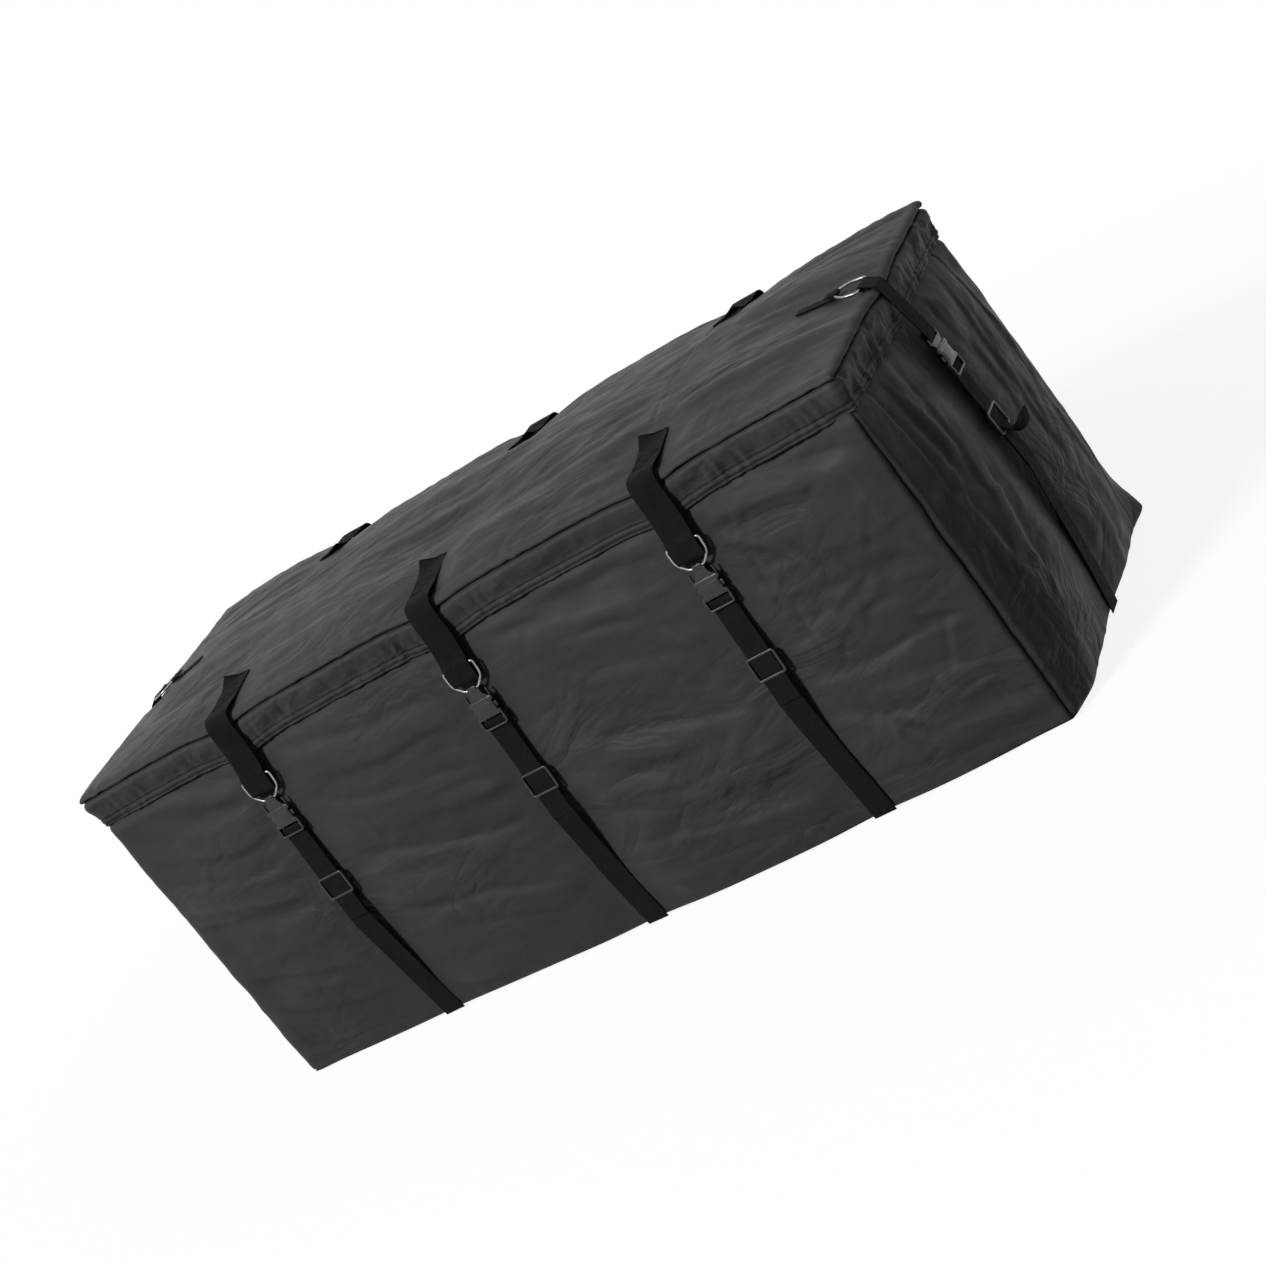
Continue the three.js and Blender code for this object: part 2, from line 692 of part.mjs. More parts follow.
const sides = [
  ...strapStations.map((across, i) => ({ place: `front_${['left', 'middle', 'right'][i]}`, turn: 0, across })),
  ...strapStations.map((across, i) => ({ place: `back_${['right', 'middle', 'left'][i]}`, turn: Math.PI, across })),
  { place: 'left_end', turn: -Math.PI / 2, across: 0 },
  { place: 'right_end', turn: Math.PI / 2, across: 0 },
];

function describeSide(side) {
  const isEnd = side.place.endsWith('end');
  const panels = { 0: frontPanel, 1: backPanel };
  const endPanel = side.place === 'left_end' ? leftEndPanel : rightEndPanel;
  side.isEnd = isEnd;
  side.panel = isEnd ? endPanel : panels[Math.round(side.turn / Math.PI)];
  side.half = isEnd ? halfLength : halfWidth;
  side.ringHeight = bagHeight - (isEnd ? endRingDrop : frontRingDrop);
  side.sliderDrop = isEnd ? endSliderDrop : sliderDrop;
  side.group = new THREE.Group();
  side.group.rotation.z = side.turn;
  bag.add(side.group);
  side.line = stackLine(side);
  return side;
}

// Points that a strap has to clear over the lid's edge and down the wall.
function edgePoints(side, lidStart, wallEnd, width) {
  const lift = webClearance + webThickness / 2;
  const lidPoints = samples(lidStart, side.half - 1, 11).map((w) => {
    return new THREE.Vector2(w, lidHeight(side, w, width) + lift);
  });
  const rim = lidPoints[lidPoints.length - 1].y - lift;
  const wallPoints = samples(rim - 1, wallEnd, 11).map((z) => {
    return new THREE.Vector2(Math.max(wallReach(side, z, width), side.half) + lift, z);
  });
  const corner = new THREE.Vector2(side.half + 0.8 * lift, rim + 0.8 * lift);
  return [...lidPoints, corner, ...wallPoints];
}

// Front and back: webbing sewn to the lid, over its edge, folded round the ring's wide bar.
function addTopStrap(side) {
  const { line, across } = side;
  const outer = line.at(0, hardwarePlane + stackDepth);
  const path = tautPath([...edgePoints(side, side.half - topWebInset, side.ringHeight + 30, topWebWidth), outer]);
  const arrive = path[path.length - 1].clone().sub(path[path.length - 2]).normalize();
  const centre = line.at(0, hardwarePlane);
  const start = Math.atan2(arrive.x, -arrive.y);
  const fold = halfTurn(centre, start, stackDepth, -1);
  const tail = fold[4].clone().addScaledVector(arrive, -foldTail);
  const band = webBand([...path.slice(0, -1), ...fold, tail], topWebWidth);
  addPiece(`${side.place}_top_strap`, band.translate(across, 0, 0), webbing, side.group);
}

// Ends: a tab sewn to the lid holds the ring, and folded webbing links the ring to the buckle.
function addLidTab(side) {
  const { across } = side;
  const lift = webClearance + stackDepth + webThickness / 2;
  const wide = side.half - lidRingInset;
  const narrow = wide - ringLength;
  const heights = samples(narrow - 4, wide + 4, 8).map((w) => [w, lidHeight(side, w, ringWide)]);
  const slope = (heights[heights.length - 1][1] - heights[0][1]) / (wide - narrow + 8);
  const base = Math.max(...heights.map(([w, z]) => z - slope * (w - wide)));
  const ringAt = (w) => new THREE.Vector2(w, base + slope * (w - wide) + lift);
  side.lidRing = ringAt(wide);
  side.lidAngle = Math.atan(slope);
  const centre = ringAt(wide - ringLength * Math.cos(Math.atan(slope)));
  const start = side.half - tabInset;
  const lidPoints = samples(start, centre.x - foldTail, 11).map((w) => {
    return new THREE.Vector2(w, lidHeight(side, w, tabWidth) + webClearance + webThickness / 2);
  });
  const under = new THREE.Vector2(centre.x, centre.y - stackDepth);
  const fold = halfTurn(centre, -Math.PI / 2, stackDepth, 1);
  const tail = new THREE.Vector2(centre.x - foldTail * 0.7, centre.y + stackDepth);
  const path = [...tautPath([...lidPoints, under]).slice(0, -1), ...fold, tail];
  addPiece(`${side.place}_lid_tab`, webBand(path, tabWidth).translate(across, 0, 0), webbing, side.group);
  const ring = addPiece(`${side.place}_ring`, ringGeometry(), steel, side.group);
  ring.rotation.x = Math.PI / 2 - side.lidAngle;
  ring.position.set(across, -side.lidRing.x, side.lidRing.y);
}

function addLinkStrap(side) {
  const { line, across, lidRing } = side;
  const bar = line.at(ringLength, hardwarePlane);
  const first = new THREE.Vector2(lidRing.x, lidRing.y + stackDepth);
  const outer = line.at(ringLength, hardwarePlane + stackDepth);
  const over = edgePoints(side, lidRing.x + 6, bar.y + 24, sideWebWidth);
  const path = tautPath([first, ...over, outer]);
  const arrive = path[path.length - 1].clone().sub(path[path.length - 2]).normalize();
  const opening = halfTurn(lidRing, side.lidAngle - Math.PI / 2, stackDepth, -1);
  const closing = halfTurn(bar, Math.atan2(arrive.x, -arrive.y), stackDepth, -1);
  const along = new THREE.Vector2(Math.cos(side.lidAngle), Math.sin(side.lidAngle));
  const tailStart = opening[0].clone().addScaledVector(along, shortTail);
  const tailEnd = closing[4].clone().addScaledVector(arrive, -shortTail);
  const band = webBand([tailStart, ...opening, ...path.slice(1, -1), ...closing, tailEnd], sideWebWidth);
  addPiece(`${side.place}_link_strap`, band.translate(across, 0, 0), webbing, side.group);
}

// Lower webbing: up from the bottom edge, over the socket's ladder bar, and back down to its sewn end.
function addSideStrap(side) {
  const { line, across } = side;
  const lift = webClearance + webThickness / 2;
  const outerLayer = webThickness + runGap;
  const ladder = -ladderHeight();
  const ladderOut = hardwarePlane - ladderPlane();
  const low = clothThickness + seamGap + 0.2;
  const kneeHeight = line.at(stitchedEnd + 12, 0).y;
  const footPoints = samples(kneeHeight, low, 11).map((z) => {
    return new THREE.Vector2(wallReach(side, Math.max(z, 6), sideWebWidth) + lift, z);
  });
  const inner = tautPath([line.at(ladder, 0), line.at(stitchedEnd + 10, 0), ...footPoints]);
  const turn = [4, 3, 2, 1, 0].map((i) => {
    const angle = (i * Math.PI) / 4;
    return line.at(ladder - ladderOut * Math.sin(angle), ladderOut - ladderOut * Math.cos(angle));
  });
  const outer = [
    line.at(stitchedEnd, outerLayer),
    line.at(socketTop + socketLength + 6, outerLayer),
  ];
  const band = webBand([...outer, ...turn, ...inner.slice(1)], sideWebWidth);
  addPiece(`${side.place}_side_strap`, band.translate(across, 0, 0), webbing, side.group);
}

function addHardware(side) {
  const { line, across, place } = side;
  const stack = new THREE.Group();
  const middle = line.at(0, hardwarePlane);
  stack.position.set(across, -middle.x, middle.y);
  stack.rotation.x = -line.slant;
  side.group.add(stack);
  if (!side.isEnd) {
    addPiece(`${place}_ring`, ringGeometry(), steel, stack);
  }
  addPiece(`${place}_buckle_plug`, plugGeometry(side.isEnd), plastic, stack);
  addPiece(`${place}_buckle_socket`, socketGeometry(), plastic, stack);
  const slider = addPiece(`${place}_strap_slider`, sliderGeometry(), plastic, stack);
  slider.position.set(0, hardwarePlane, -side.sliderDrop);
}

for (const side of sides.map(describeSide)) {
  if (side.isEnd) {
    addLidTab(side);
    addLinkStrap(side);
  } else {
    addTopStrap(side);
  }
  addSideStrap(side);
  addHardware(side);
}

export default bag;
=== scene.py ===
import json
import math

import bmesh
import bpy
import numpy as np
from mathutils import Matrix, Vector


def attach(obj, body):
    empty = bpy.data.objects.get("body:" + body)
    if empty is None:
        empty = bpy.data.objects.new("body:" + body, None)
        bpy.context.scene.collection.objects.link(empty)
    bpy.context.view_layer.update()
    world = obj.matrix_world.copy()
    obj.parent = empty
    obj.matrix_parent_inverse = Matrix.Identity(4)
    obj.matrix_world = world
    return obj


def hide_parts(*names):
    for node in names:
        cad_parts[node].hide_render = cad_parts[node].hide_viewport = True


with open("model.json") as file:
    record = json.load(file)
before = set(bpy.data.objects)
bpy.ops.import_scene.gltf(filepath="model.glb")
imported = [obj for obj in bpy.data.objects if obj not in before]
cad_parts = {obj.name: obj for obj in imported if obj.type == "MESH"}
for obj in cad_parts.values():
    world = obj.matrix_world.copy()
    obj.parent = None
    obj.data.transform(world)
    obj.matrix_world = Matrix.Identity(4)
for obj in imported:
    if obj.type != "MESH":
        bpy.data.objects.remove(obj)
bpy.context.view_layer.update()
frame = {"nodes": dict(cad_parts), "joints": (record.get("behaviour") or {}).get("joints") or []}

scene = bpy.context.scene
nodes = frame["nodes"]
print("frame loaded:", len(nodes), "nodes")

# ---- camera, light and floor ----

view = {"place": (2.3577, -3.6966, 1.5346), "azimuth": 31.707, "elevation": 15.646, "roll": -37.548,
        "lens": 82.5, "sensor": 36.0}
light = {"world": 0.105, "aim": (0, 0, 0.3), "keyLamp": ((-2.9, -8.4, 7.3), 960.0, 1.7),
         "topLamp": ((0.8, 1.6, 3.4), 5.0, 1.6)}
floorLook = {"size": 14.0, "colour": (0.16, 0.18), "glow": 0.885, "fadeFrom": 0.95, "fadeTo": 2.1}
white = (1, 1, 1, 1)


def makeCamera():
    azimuth, elevation, roll = (math.radians(view[k]) for k in ("azimuth", "elevation", "roll"))
    ahead = Vector((-math.sin(azimuth) * math.cos(elevation), math.cos(azimuth) * math.cos(elevation),
                    -math.sin(elevation)))
    level = Vector((math.cos(azimuth), math.sin(azimuth), 0))
    upright = level.cross(ahead)
    across = level * math.cos(roll) + upright * math.sin(roll)
    upward = upright * math.cos(roll) - level * math.sin(roll)
    turn = Matrix((across, upward, -ahead)).transposed().to_4x4()
    data = bpy.data.cameras.new("camera")
    data.lens, data.sensor_width = view["lens"], view["sensor"]
    data.clip_start, data.clip_end = 0.1, 60
    scene.camera = bpy.data.objects.new("camera", data)
    scene.camera.matrix_world = Matrix.Translation(view["place"]) @ turn
    scene.collection.objects.link(scene.camera)


def makeLamp(name):
    place, power, size = light[name]
    data = bpy.data.lights.new(name, "AREA")
    data.energy, data.size = power, size
    lamp = bpy.data.objects.new(name, data)
    lamp.location = place
    lamp.rotation_mode = "QUATERNION"
    lamp.rotation_quaternion = (Vector(light["aim"]) - Vector(place)).to_track_quat("-Z", "Y")
    scene.collection.objects.link(lamp)


def emptyTree(owner):
    owner.use_nodes = True
    owner.node_tree.nodes.clear()
    return owner.node_tree


def addNode(tree, kind, **values):
    """One shader node. A value is set on the input or property of that name, or linked if it is a node or a
    socket; in0, in1 and so on name an input by its number."""
    made = tree.nodes.new("ShaderNode" + kind)
    for key, value in values.items():
        number = key[2:] if key[:2] == "in" else ""
        slot = made.inputs[int(number)] if number.isdigit() else made.inputs.get(key.replace("_", " "))
        if slot is None:
            setattr(made, key, value)
        elif isinstance(value, bpy.types.Node):
            tree.links.new(value.outputs[0], slot)
        elif isinstance(value, bpy.types.NodeSocket):
            tree.links.new(value, slot)
        else:
            slot.default_value = value
    return made


def calc(tree, operation, *values):
    return addNode(tree, "Math", operation=operation, **{f"in{k}": value for k, value in enumerate(values)})


def product(tree, first, *others):
    for value in others:
        first = calc(tree, "MULTIPLY", first, value)
    return first


def ranged(tree, value, low, high, fromLow=0.0, fromHigh=1.0, **more):
    return addNode(tree, "MapRange", Value=value, From_Min=fromLow, From_Max=fromHigh, To_Min=low,
                   To_Max=high, **more)


def seenRays(tree):
    """1 where the camera or a glossy surface looks, 0 where light is gathered."""
    path = addNode(tree, "LightPath")
    return calc(tree, "MAXIMUM", path.outputs["Is Camera Ray"], path.outputs["Is Glossy Ray"])


def makeWorld():
    scene.world = bpy.data.worlds.new("studio")
    tree = emptyTree(scene.world)
    lit = addNode(tree, "Background", Color=white, Strength=light["world"])
    shown = addNode(tree, "Background", Color=white, Strength=1.0)
    addNode(tree, "OutputWorld", Surface=addNode(tree, "MixShader", Fac=seenRays(tree), in1=lit, in2=shown))


def makeFloor():
    """A pale square under the bag that fades to plain white with its distance from the middle."""
    half = floorLook["size"] / 2
    mesh = bpy.data.meshes.new("floor")
    corners = [(-half, -half, 0), (half, -half, 0), (half, half, 0), (-half, half, 0)]
    mesh.from_pydata(corners, [], [(0, 1, 2, 3)])
    floor = bpy.data.objects.new("floor", mesh)
    scene.collection.objects.link(floor)
    paint = bpy.data.materials.new("paleFloor")
    mesh.materials.append(paint)
    tree = emptyTree(paint)
    place = addNode(tree, "TexCoord").outputs["Object"]
    far = addNode(tree, "VectorMath", operation="LENGTH", in0=place).outputs["Value"]
    fade = ranged(tree, far, 0.0, 1.0, floorLook["fadeFrom"], floorLook["fadeTo"],
                  interpolation_type="SMOOTHSTEP")
    grain = addNode(tree, "TexNoise", Vector=place, Scale=40.0)
    tint = ranged(tree, grain, *floorLook["colour"])
    seen = seenRays(tree)
    lift = addNode(tree, "Emission", Color=white, Strength=product(tree, seen, floorLook["glow"]))
    near = addNode(tree, "AddShader", in0=addNode(tree, "BsdfDiffuse", Color=tint), in1=lift)
    blank = addNode(tree, "Emission", Color=white, Strength=1.0)
    mixed = addNode(tree, "MixShader", Fac=product(tree, fade, seen), in1=near, in2=blank)
    addNode(tree, "OutputMaterial", Surface=mixed)


scene.view_settings.view_transform = "Standard"
makeCamera()
makeWorld()
makeFloor()
makeLamp("keyLamp")
makeLamp("topLamp")
print("camera, light and floor made")

# ---- finishes ----


def newGroup(name, inputs, outputs):
    group = bpy.data.node_groups.new(name, "ShaderNodeTree")
    for label, value in inputs.items():
        kind = "NodeSocketVector" if value is None else "NodeSocketFloat"
        socket = group.interface.new_socket(label, in_out="INPUT", socket_type=kind)
        if value is not None:
            socket.default_value = value
    for label in outputs:
        group.interface.new_socket(label, in_out="OUTPUT", socket_type="NodeSocketFloat")
    return group, group.nodes.new("NodeGroupInput"), group.nodes.new("NodeGroupOutput")


def makeWeaveGroup():
    """Threads that cross over and under: the product of two sine waves along the piece's own UV."""
    group, source, sink = newGroup("crossWeave", {"UV": None, "Across": 0.0009, "Along": 0.0009},
                                   ("Height", "Thread"))
    parts = addNode(group, "SeparateXYZ", Vector=source.outputs["UV"])
    waves = []
    for axis, pitch in (("X", "Across"), ("Y", "Along")):
        turns = calc(group, "DIVIDE", parts.outputs[axis], source.outputs[pitch])
        waves.append(calc(group, "SINE", product(group, turns, math.pi)))
    crossed = product(group, *waves)
    group.links.new(calc(group, "ABSOLUTE", crossed).outputs[0], sink.inputs["Height"])
    group.links.new(calc(group, "MULTIPLY_ADD", crossed, 0.5, 0.5).outputs[0], sink.inputs["Thread"])
    return group


def makeToneGroup():
    """Slow changes of tone and gloss: two noises of different size, from Object coordinates."""
    group, source, sink = newGroup("usedTone", {"Size": 6.0, "Low": 0.8, "High": 1.2}, ("Tone", "Gloss"))
    place = addNode(group, "TexCoord").outputs["Object"]
    broad = addNode(group, "TexNoise", Vector=place, Scale=source.outputs["Size"], Detail=4.0, Roughness=0.55)
    tone = ranged(group, broad, source.outputs["Low"], source.outputs["High"], 0.3, 0.7)
    fine = product(group, source.outputs["Size"], 9.0)
    specks = addNode(group, "TexNoise", Vector=place, Scale=fine, Detail=3.0)
    group.links.new(tone.outputs[0], sink.inputs["Tone"])
    group.links.new(specks.outputs[0], sink.inputs["Gloss"])
    return group


weaveGroup = makeWeaveGroup()
toneGroup = makeToneGroup()


def startFinish(name, look, **values):
    """A material with its shader, its slow changes of gloss, and the tone for its colour."""
    material = bpy.data.materials.new(name)
    tree = emptyTree(material)
    shader = addNode(tree, "BsdfPrincipled", **values)
    addNode(tree, "OutputMaterial", Surface=shader)
    used = addNode(tree, "Group", node_tree=toneGroup, Size=look["patch"], Low=look["tone"][0],
                   High=look["tone"][1])
    gloss = ranged(tree, used.outputs["Gloss"], *look["gloss"], 0.3, 0.7)
    tree.links.new(gloss.outputs[0], shader.inputs["Roughness"])
    return material, tree, shader, used.outputs["Tone"]


def finish(tree, shader, colour, factor, bump):
    """Sets the colour times a factor that changes over the surface, and the bump."""
    mixed = addNode(tree, "Mix", data_type="RGBA", blend_type="MULTIPLY", in0=1.0, in6=(*colour, 1.0),
                    in7=factor)
    tree.links.new(mixed.outputs[2], shader.inputs["Base Color"])
    tree.links.new(bump.outputs[0], shader.inputs["Normal"])


# hollow and crest are how far the colour is darkened in hollows and lightened on crests: painted shade and
# painted light.
clothLook = {"colour": (0.044, 0.0445, 0.046), "patch": 2.4, "tone": (0.86, 1.16), "gloss": (0.41, 0.57),
             "specular": 0.065, "thread": 0.0011, "threadTone": (0.93, 1.07), "hollow": 0.08, "crest": 1.4,
             "weaveBump": 0.16, "creaseBump": 0.4, "foldBump": 0.8}


def makeCloth(name, look):
    material, tree, shader, tone = startFinish(name, look, Specular_IOR_Level=look["specular"])
    weave = addNode(tree, "Group", node_tree=weaveGroup, UV=addNode(tree, "UVMap", uv_map="run"),
                    Across=look["thread"], Along=look["thread"])
    # The crease attribute paints light and shade into the colour: lighter on crests, darker in hollows, in
    # seams and along stitch rows.
    crease = addNode(tree, "Attribute", attribute_name="crease").outputs["Fac"]
    paintedFoldShading = ranged(tree, crease, look["hollow"], look["crest"], -1.0, 1.0)
    threads = ranged(tree, weave.outputs["Thread"], *look["threadTone"])
    place = addNode(tree, "TexCoord").outputs["Object"]
    stretched = addNode(tree, "Mapping", Vector=place, Scale=(0.6, 1.0, 1.3))
    crumple = addNode(tree, "TexNoise", Vector=stretched, Scale=26.0, Detail=5.0, Roughness=0.55,
                      Distortion=0.7)
    bend = addNode(tree, "Bump", Strength=look["creaseBump"], Distance=0.004, Height=crumple)
    swirl = addNode(tree, "TexNoise", Vector=stretched, Scale=9.0, Detail=3.0, Distortion=0.85)
    folded = calc(tree, "ABSOLUTE", calc(tree, "SUBTRACT", swirl, 0.5))
    patches = addNode(tree, "TexNoise", Vector=place, Scale=3.4, Detail=1.0)
    folded = product(tree, folded, ranged(tree, patches, 0.1, 0.9, 0.42, 0.64))
    sharp = addNode(tree, "Bump", Strength=look["foldBump"], Distance=0.03, Height=folded, Normal=bend)
    thread = addNode(tree, "Bump", Strength=look["weaveBump"], Distance=0.0003,
                     Height=weave.outputs["Height"], Normal=sharp)
    finish(tree, shader, look["colour"], product(tree, tone, paintedFoldShading, threads), thread)
    return material


webLook = {"colour": (0.0105, 0.0105, 0.011), "patch": 14.0, "tone": (0.8, 1.25), "gloss": (0.6, 0.8),
           "specular": 0.05, "across": 0.0021, "along": 0.0015, "threadTone": (0.72, 1.3), "bump": 0.55}


def makeWebbing(name, look):
    material, tree, shader, tone = startFinish(name, look, Specular_IOR_Level=look["specular"])
    weave = addNode(tree, "Group", node_tree=weaveGroup, UV=addNode(tree, "UVMap", uv_map="run"),
                    Across=look["across"], Along=look["along"])
    threads = ranged(tree, weave.outputs["Height"], *look["threadTone"])
    bump = addNode(tree, "Bump", Strength=look["bump"], Distance=0.0006, Height=weave.outputs["Height"])
    finish(tree, shader, look["colour"], product(tree, tone, threads), bump)
    return material


plasticLook = {"colour": (0.0085, 0.0085, 0.009), "patch": 30.0, "tone": (0.82, 1.25), "gloss": (0.24, 0.38),
               "grain": 1600.0, "detail": 2.0, "bump": 0.12}
steelLook = {"colour": (0.3, 0.3, 0.295), "patch": 60.0, "tone": (0.75, 1.2), "gloss": (0.24, 0.42),
             "grain": 900.0, "detail": 3.0, "bump": 0.1}


def makeHard(name, look, **values):
    material, tree, shader, tone = startFinish(name, look, **values)
    place = addNode(tree, "TexCoord").outputs["Object"]
    grain = addNode(tree, "TexNoise", Vector=place, Scale=look["grain"], Detail=look["detail"])
    finish(tree, shader, look["colour"], tone,
           addNode(tree, "Bump", Strength=look["bump"], Distance=0.0002, Height=grain))
    return material


clothPaint = makeCloth("coatedCloth", clothLook)
webPaint = makeWebbing("ribbedWebbing", webLook)
ribPaint = makeWebbing("crossRibbedWebbing", {**webLook, "across": 0.0016, "along": 0.003})
threadPaint = makeWebbing("seamThread", {**webLook, "across": 0.0004, "along": 0.0006,
                                         "colour": (0.006, 0.006, 0.0065)})
plasticPaint = makeHard("mouldedPlastic", plasticLook, Specular_IOR_Level=0.5)
steelPaint = makeHard("platedWire", steelLook, Metallic=1.0)
print("finishes made")

# ---- numbers and lines as whole arrays ----


def zeroOne(x):
    return np.clip(x, 0, 1)


def ease(x):
    """From 0 to 1, level at both ends."""
    t = zeroOne(x)
    return t * t * (3 - 2 * t)


def dome(t, power):
    return 1 - np.minimum(1, np.abs(t)) ** power


def hill(distance, reach):
    return np.exp(-((distance / reach) ** 2))


def unit(vectors):
    return vectors / np.maximum(np.linalg.norm(vectors, axis=-1, keepdims=True), 1e-12)


def runs(line):
    """How far along a line each of its places lies."""
    return np.concatenate([[0], np.cumsum(np.linalg.norm(np.diff(line, axis=0), axis=1))])


def onLine(at, run, values):
    return np.stack([np.interp(at, run, values[:, k]) for k in range(3)], 1)


def bell(width, reach):
    weights = np.exp(-0.5 * (np.arange(-reach, reach + 1) / width) ** 2)
    return weights / weights.sum()


def softNoise(x, y, seed):
    """Random heights at whole numbers, eased between them, from -1 to 1."""
    table = np.random.default_rng(seed).uniform(-1, 1, (64, 64))
    i, j = np.floor(x).astype(int), np.floor(y).astype(int)
    s, t = ease(x - i), ease(y - j)
    i, j, k, l = i % 64, j % 64, (i + 1) % 64, (j + 1) % 64
    return (table[i, j] * (1 - s) + table[k, j] * s) * (1 - t) + (table[i, l] * (1 - s) + table[k, l] * s) * t


def waver(x, seed):
    return softNoise(x, x * 0, seed)


def layeredNoise(x, y, seed, layers=3):
    return sum(softNoise(x * 2 ** n, y * 2 ** n, seed + n) / 1.8 ** n for n in range(layers))


def ridges(x, y, seed):
    """Narrow crests where a warped noise passes through zero."""
    bent = x + 0.5 * softNoise(x * 0.7, y * 0.7, seed + 7), y + 0.5 * softNoise(x * 0.7, y * 0.7, seed + 9)
    return hill(layeredNoise(*bent, seed, 2), 0.16)


def spaced(low, high, step, fineWidth):
    """Places from low to high, closer together within the fine width of either end."""
    fine = fineWidth * np.linspace(0, 1, 9)[:-1]
    count = max(2, round((high - low - 2 * fineWidth) / step))
    middle = np.linspace(low + fineWidth, high - fineWidth, count)
    return np.concatenate([low + fine, middle, high - fine[::-1]])


def easing(fine, count, low, high):
    """Weights that carry values at count even places from low to high onto other places, by cubic pieces."""
    t = zeroOne((fine - low) / (high - low)) * (count - 1)
    cell = np.clip(np.floor(t).astype(int), 0, count - 2)
    s = t - cell
    cubic = np.stack([-s ** 3 + 2 * s ** 2 - s, 3 * s ** 3 - 5 * s ** 2 + 2,
                      -3 * s ** 3 + 4 * s ** 2 + s, s ** 3 - s ** 2], 1) / 2
    weights = np.zeros((len(fine), count))
    for shift in range(4):
        np.add.at(weights, (np.arange(len(fine)), np.clip(cell + shift - 1, 0, count - 1)), cubic[:, shift])
    return weights


# ---- pieces from arrays ----


def quadsOf(index):
    return np.stack([index[:-1, :-1], index[:-1, 1:], index[1:, 1:], index[1:, :-1]], -1).reshape(-1, 4)


def surface(name, points, run, around=False, flip=False):
    """A grid of points [row, column] joined as quads, with its UV (run) in metres along the piece.
    With around, the last column joins the first one again."""
    index = np.arange(points.shape[0] * points.shape[1]).reshape(points.shape[:2])
    if around:
        index = np.concatenate([index, index[:, :1]], axis=1)
    quads = quadsOf(index)
    marks = quadsOf(np.arange(run.shape[0] * run.shape[1]).reshape(run.shape[:2]))
    if flip:
        quads, marks = quads[:, ::-1], marks[:, ::-1]
    return meshFrom(name, points.reshape(-1, 3), quads, run.reshape(-1, 2)[marks.ravel()])


def meshFrom(name, points, faces, run=None):
    mesh = bpy.data.meshes.new(name)
    mesh.vertices.add(len(points))
    mesh.vertices.foreach_set("co", np.ascontiguousarray(points, np.float32).ravel())
    mesh.loops.add(faces.size)
    mesh.loops.foreach_set("vertex_index", np.ascontiguousarray(faces, np.int32).ravel())
    mesh.polygons.add(len(faces))
    mesh.polygons.foreach_set("loop_start", np.arange(0, faces.size, faces.shape[1], dtype=np.int32))
    mesh.polygons.foreach_set("use_smooth", np.ones(len(faces), bool))
    mesh.update(calc_edges=True)
    if run is not None:
        mesh.uv_layers.new(name="run").data.foreach_set("uv", np.ascontiguousarray(run, np.float32).ravel())
    piece = bpy.data.objects.new(name, mesh)
    scene.collection.objects.link(piece)
    return piece


def dress(piece, paint, body="bag", stands=(), thickness=None):
    piece.data.materials.clear()
    piece.data.materials.append(paint)
    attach(piece, body)
    if stands:
        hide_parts(*stands)
    if thickness:
        wall = piece.modifiers.new("wall", "SOLIDIFY")
        wall.thickness, wall.offset, wall.use_rim = thickness, -1.0, True
    return piece


# The crease attribute holds painted light and shade for the cloth's colour: above 0.5 lighter, below it darker.
def setCrease(piece, values):
    attribute = piece.data.attributes.new("crease", "FLOAT", "POINT")
    attribute.data.foreach_set("value", np.ascontiguousarray(values, np.float32).ravel())


# ---- form of the stuffed bag, as the solids have it, in metres ----

form = {"length": 1.5, "width": 0.61, "height": 0.61, "inset": 0.009, "sideBulge": 0.042, "endBulge": 0.038,
        "lidBulge": 0.030, "footBow": 0.034, "endFootBow": 0.022, "foldHeight": 0.0045, "edgeDip": 0.007,
        "dipReach": 0.052, "strapDent": 0.3, "dentReach": 0.080, "wallTop": 0.566, "hem": 0.544,
        "flapTop": 0.6072, "strapPitch": 0.425, "backRise": 0.0085, "frontRise": 0.0025, "calmFrom": 0.535,
        "cloth": 0.0012}
halfLength, halfWidth, height = form["length"] / 2, form["width"] / 2, form["height"]
wallTop = form["wallTop"]
stations = (-form["strapPitch"], 0.0, form["strapPitch"])
# dark and stitchDark darken the cloth's colour: painted shade in the seams' gaps and along the end walls'
# stitch lines.
seam = {"width": 0.013, "depth": 0.0056, "dark": 1.7, "stitchDark": 0.8}


def nearStraps(x, reach):
    return sum(hill(x - at, reach) for at in stations)


def bulge(t, z, depth, foot, edge, dent, folds):
    """How far a wall stands out at t, from -1 to 1 across it: a swell, a bow along its foot, and folds."""
    arc = dome(2 * z / wallTop - 1, 2.4)
    bow = foot * ((height - z) / height) ** 3 * (z < wallTop)
    return depth * dome(t, edge[0]) * arc * dent + bow + form["foldHeight"] * folds * arc * dome(t, edge[1])


def sidePush(a, z):
    z = np.clip(z, 0, wallTop)
    dent = 1 - form["strapDent"] * nearStraps(a * halfLength, form["dentReach"])
    foot = form["footBow"] * dome(a, 4) * (0.68 + 0.32 * np.tanh(4 * a + 0.8)) * dent
    folds = np.sin(21 * z + 2.4 * a) * np.cos(5.2 * a + 4 * z)
    return bulge(a, z, form["sideBulge"], foot, (6, 8), dent, folds)


def endPush(b, z):
    z = np.clip(z, 0, wallTop)
    dent = 1 - form["strapDent"] * hill(b * halfWidth, form["dentReach"])
    foot = form["endFootBow"] * dome(b, 4) * dent * (1 + 0.7 * hill(b + 0.8, 0.18))
    folds = np.sin(7.5 * b + 4 * z * b) * (0.4 + z / height)
    return bulge(b, z, form["endBulge"], foot, (4, 6), dent, folds)


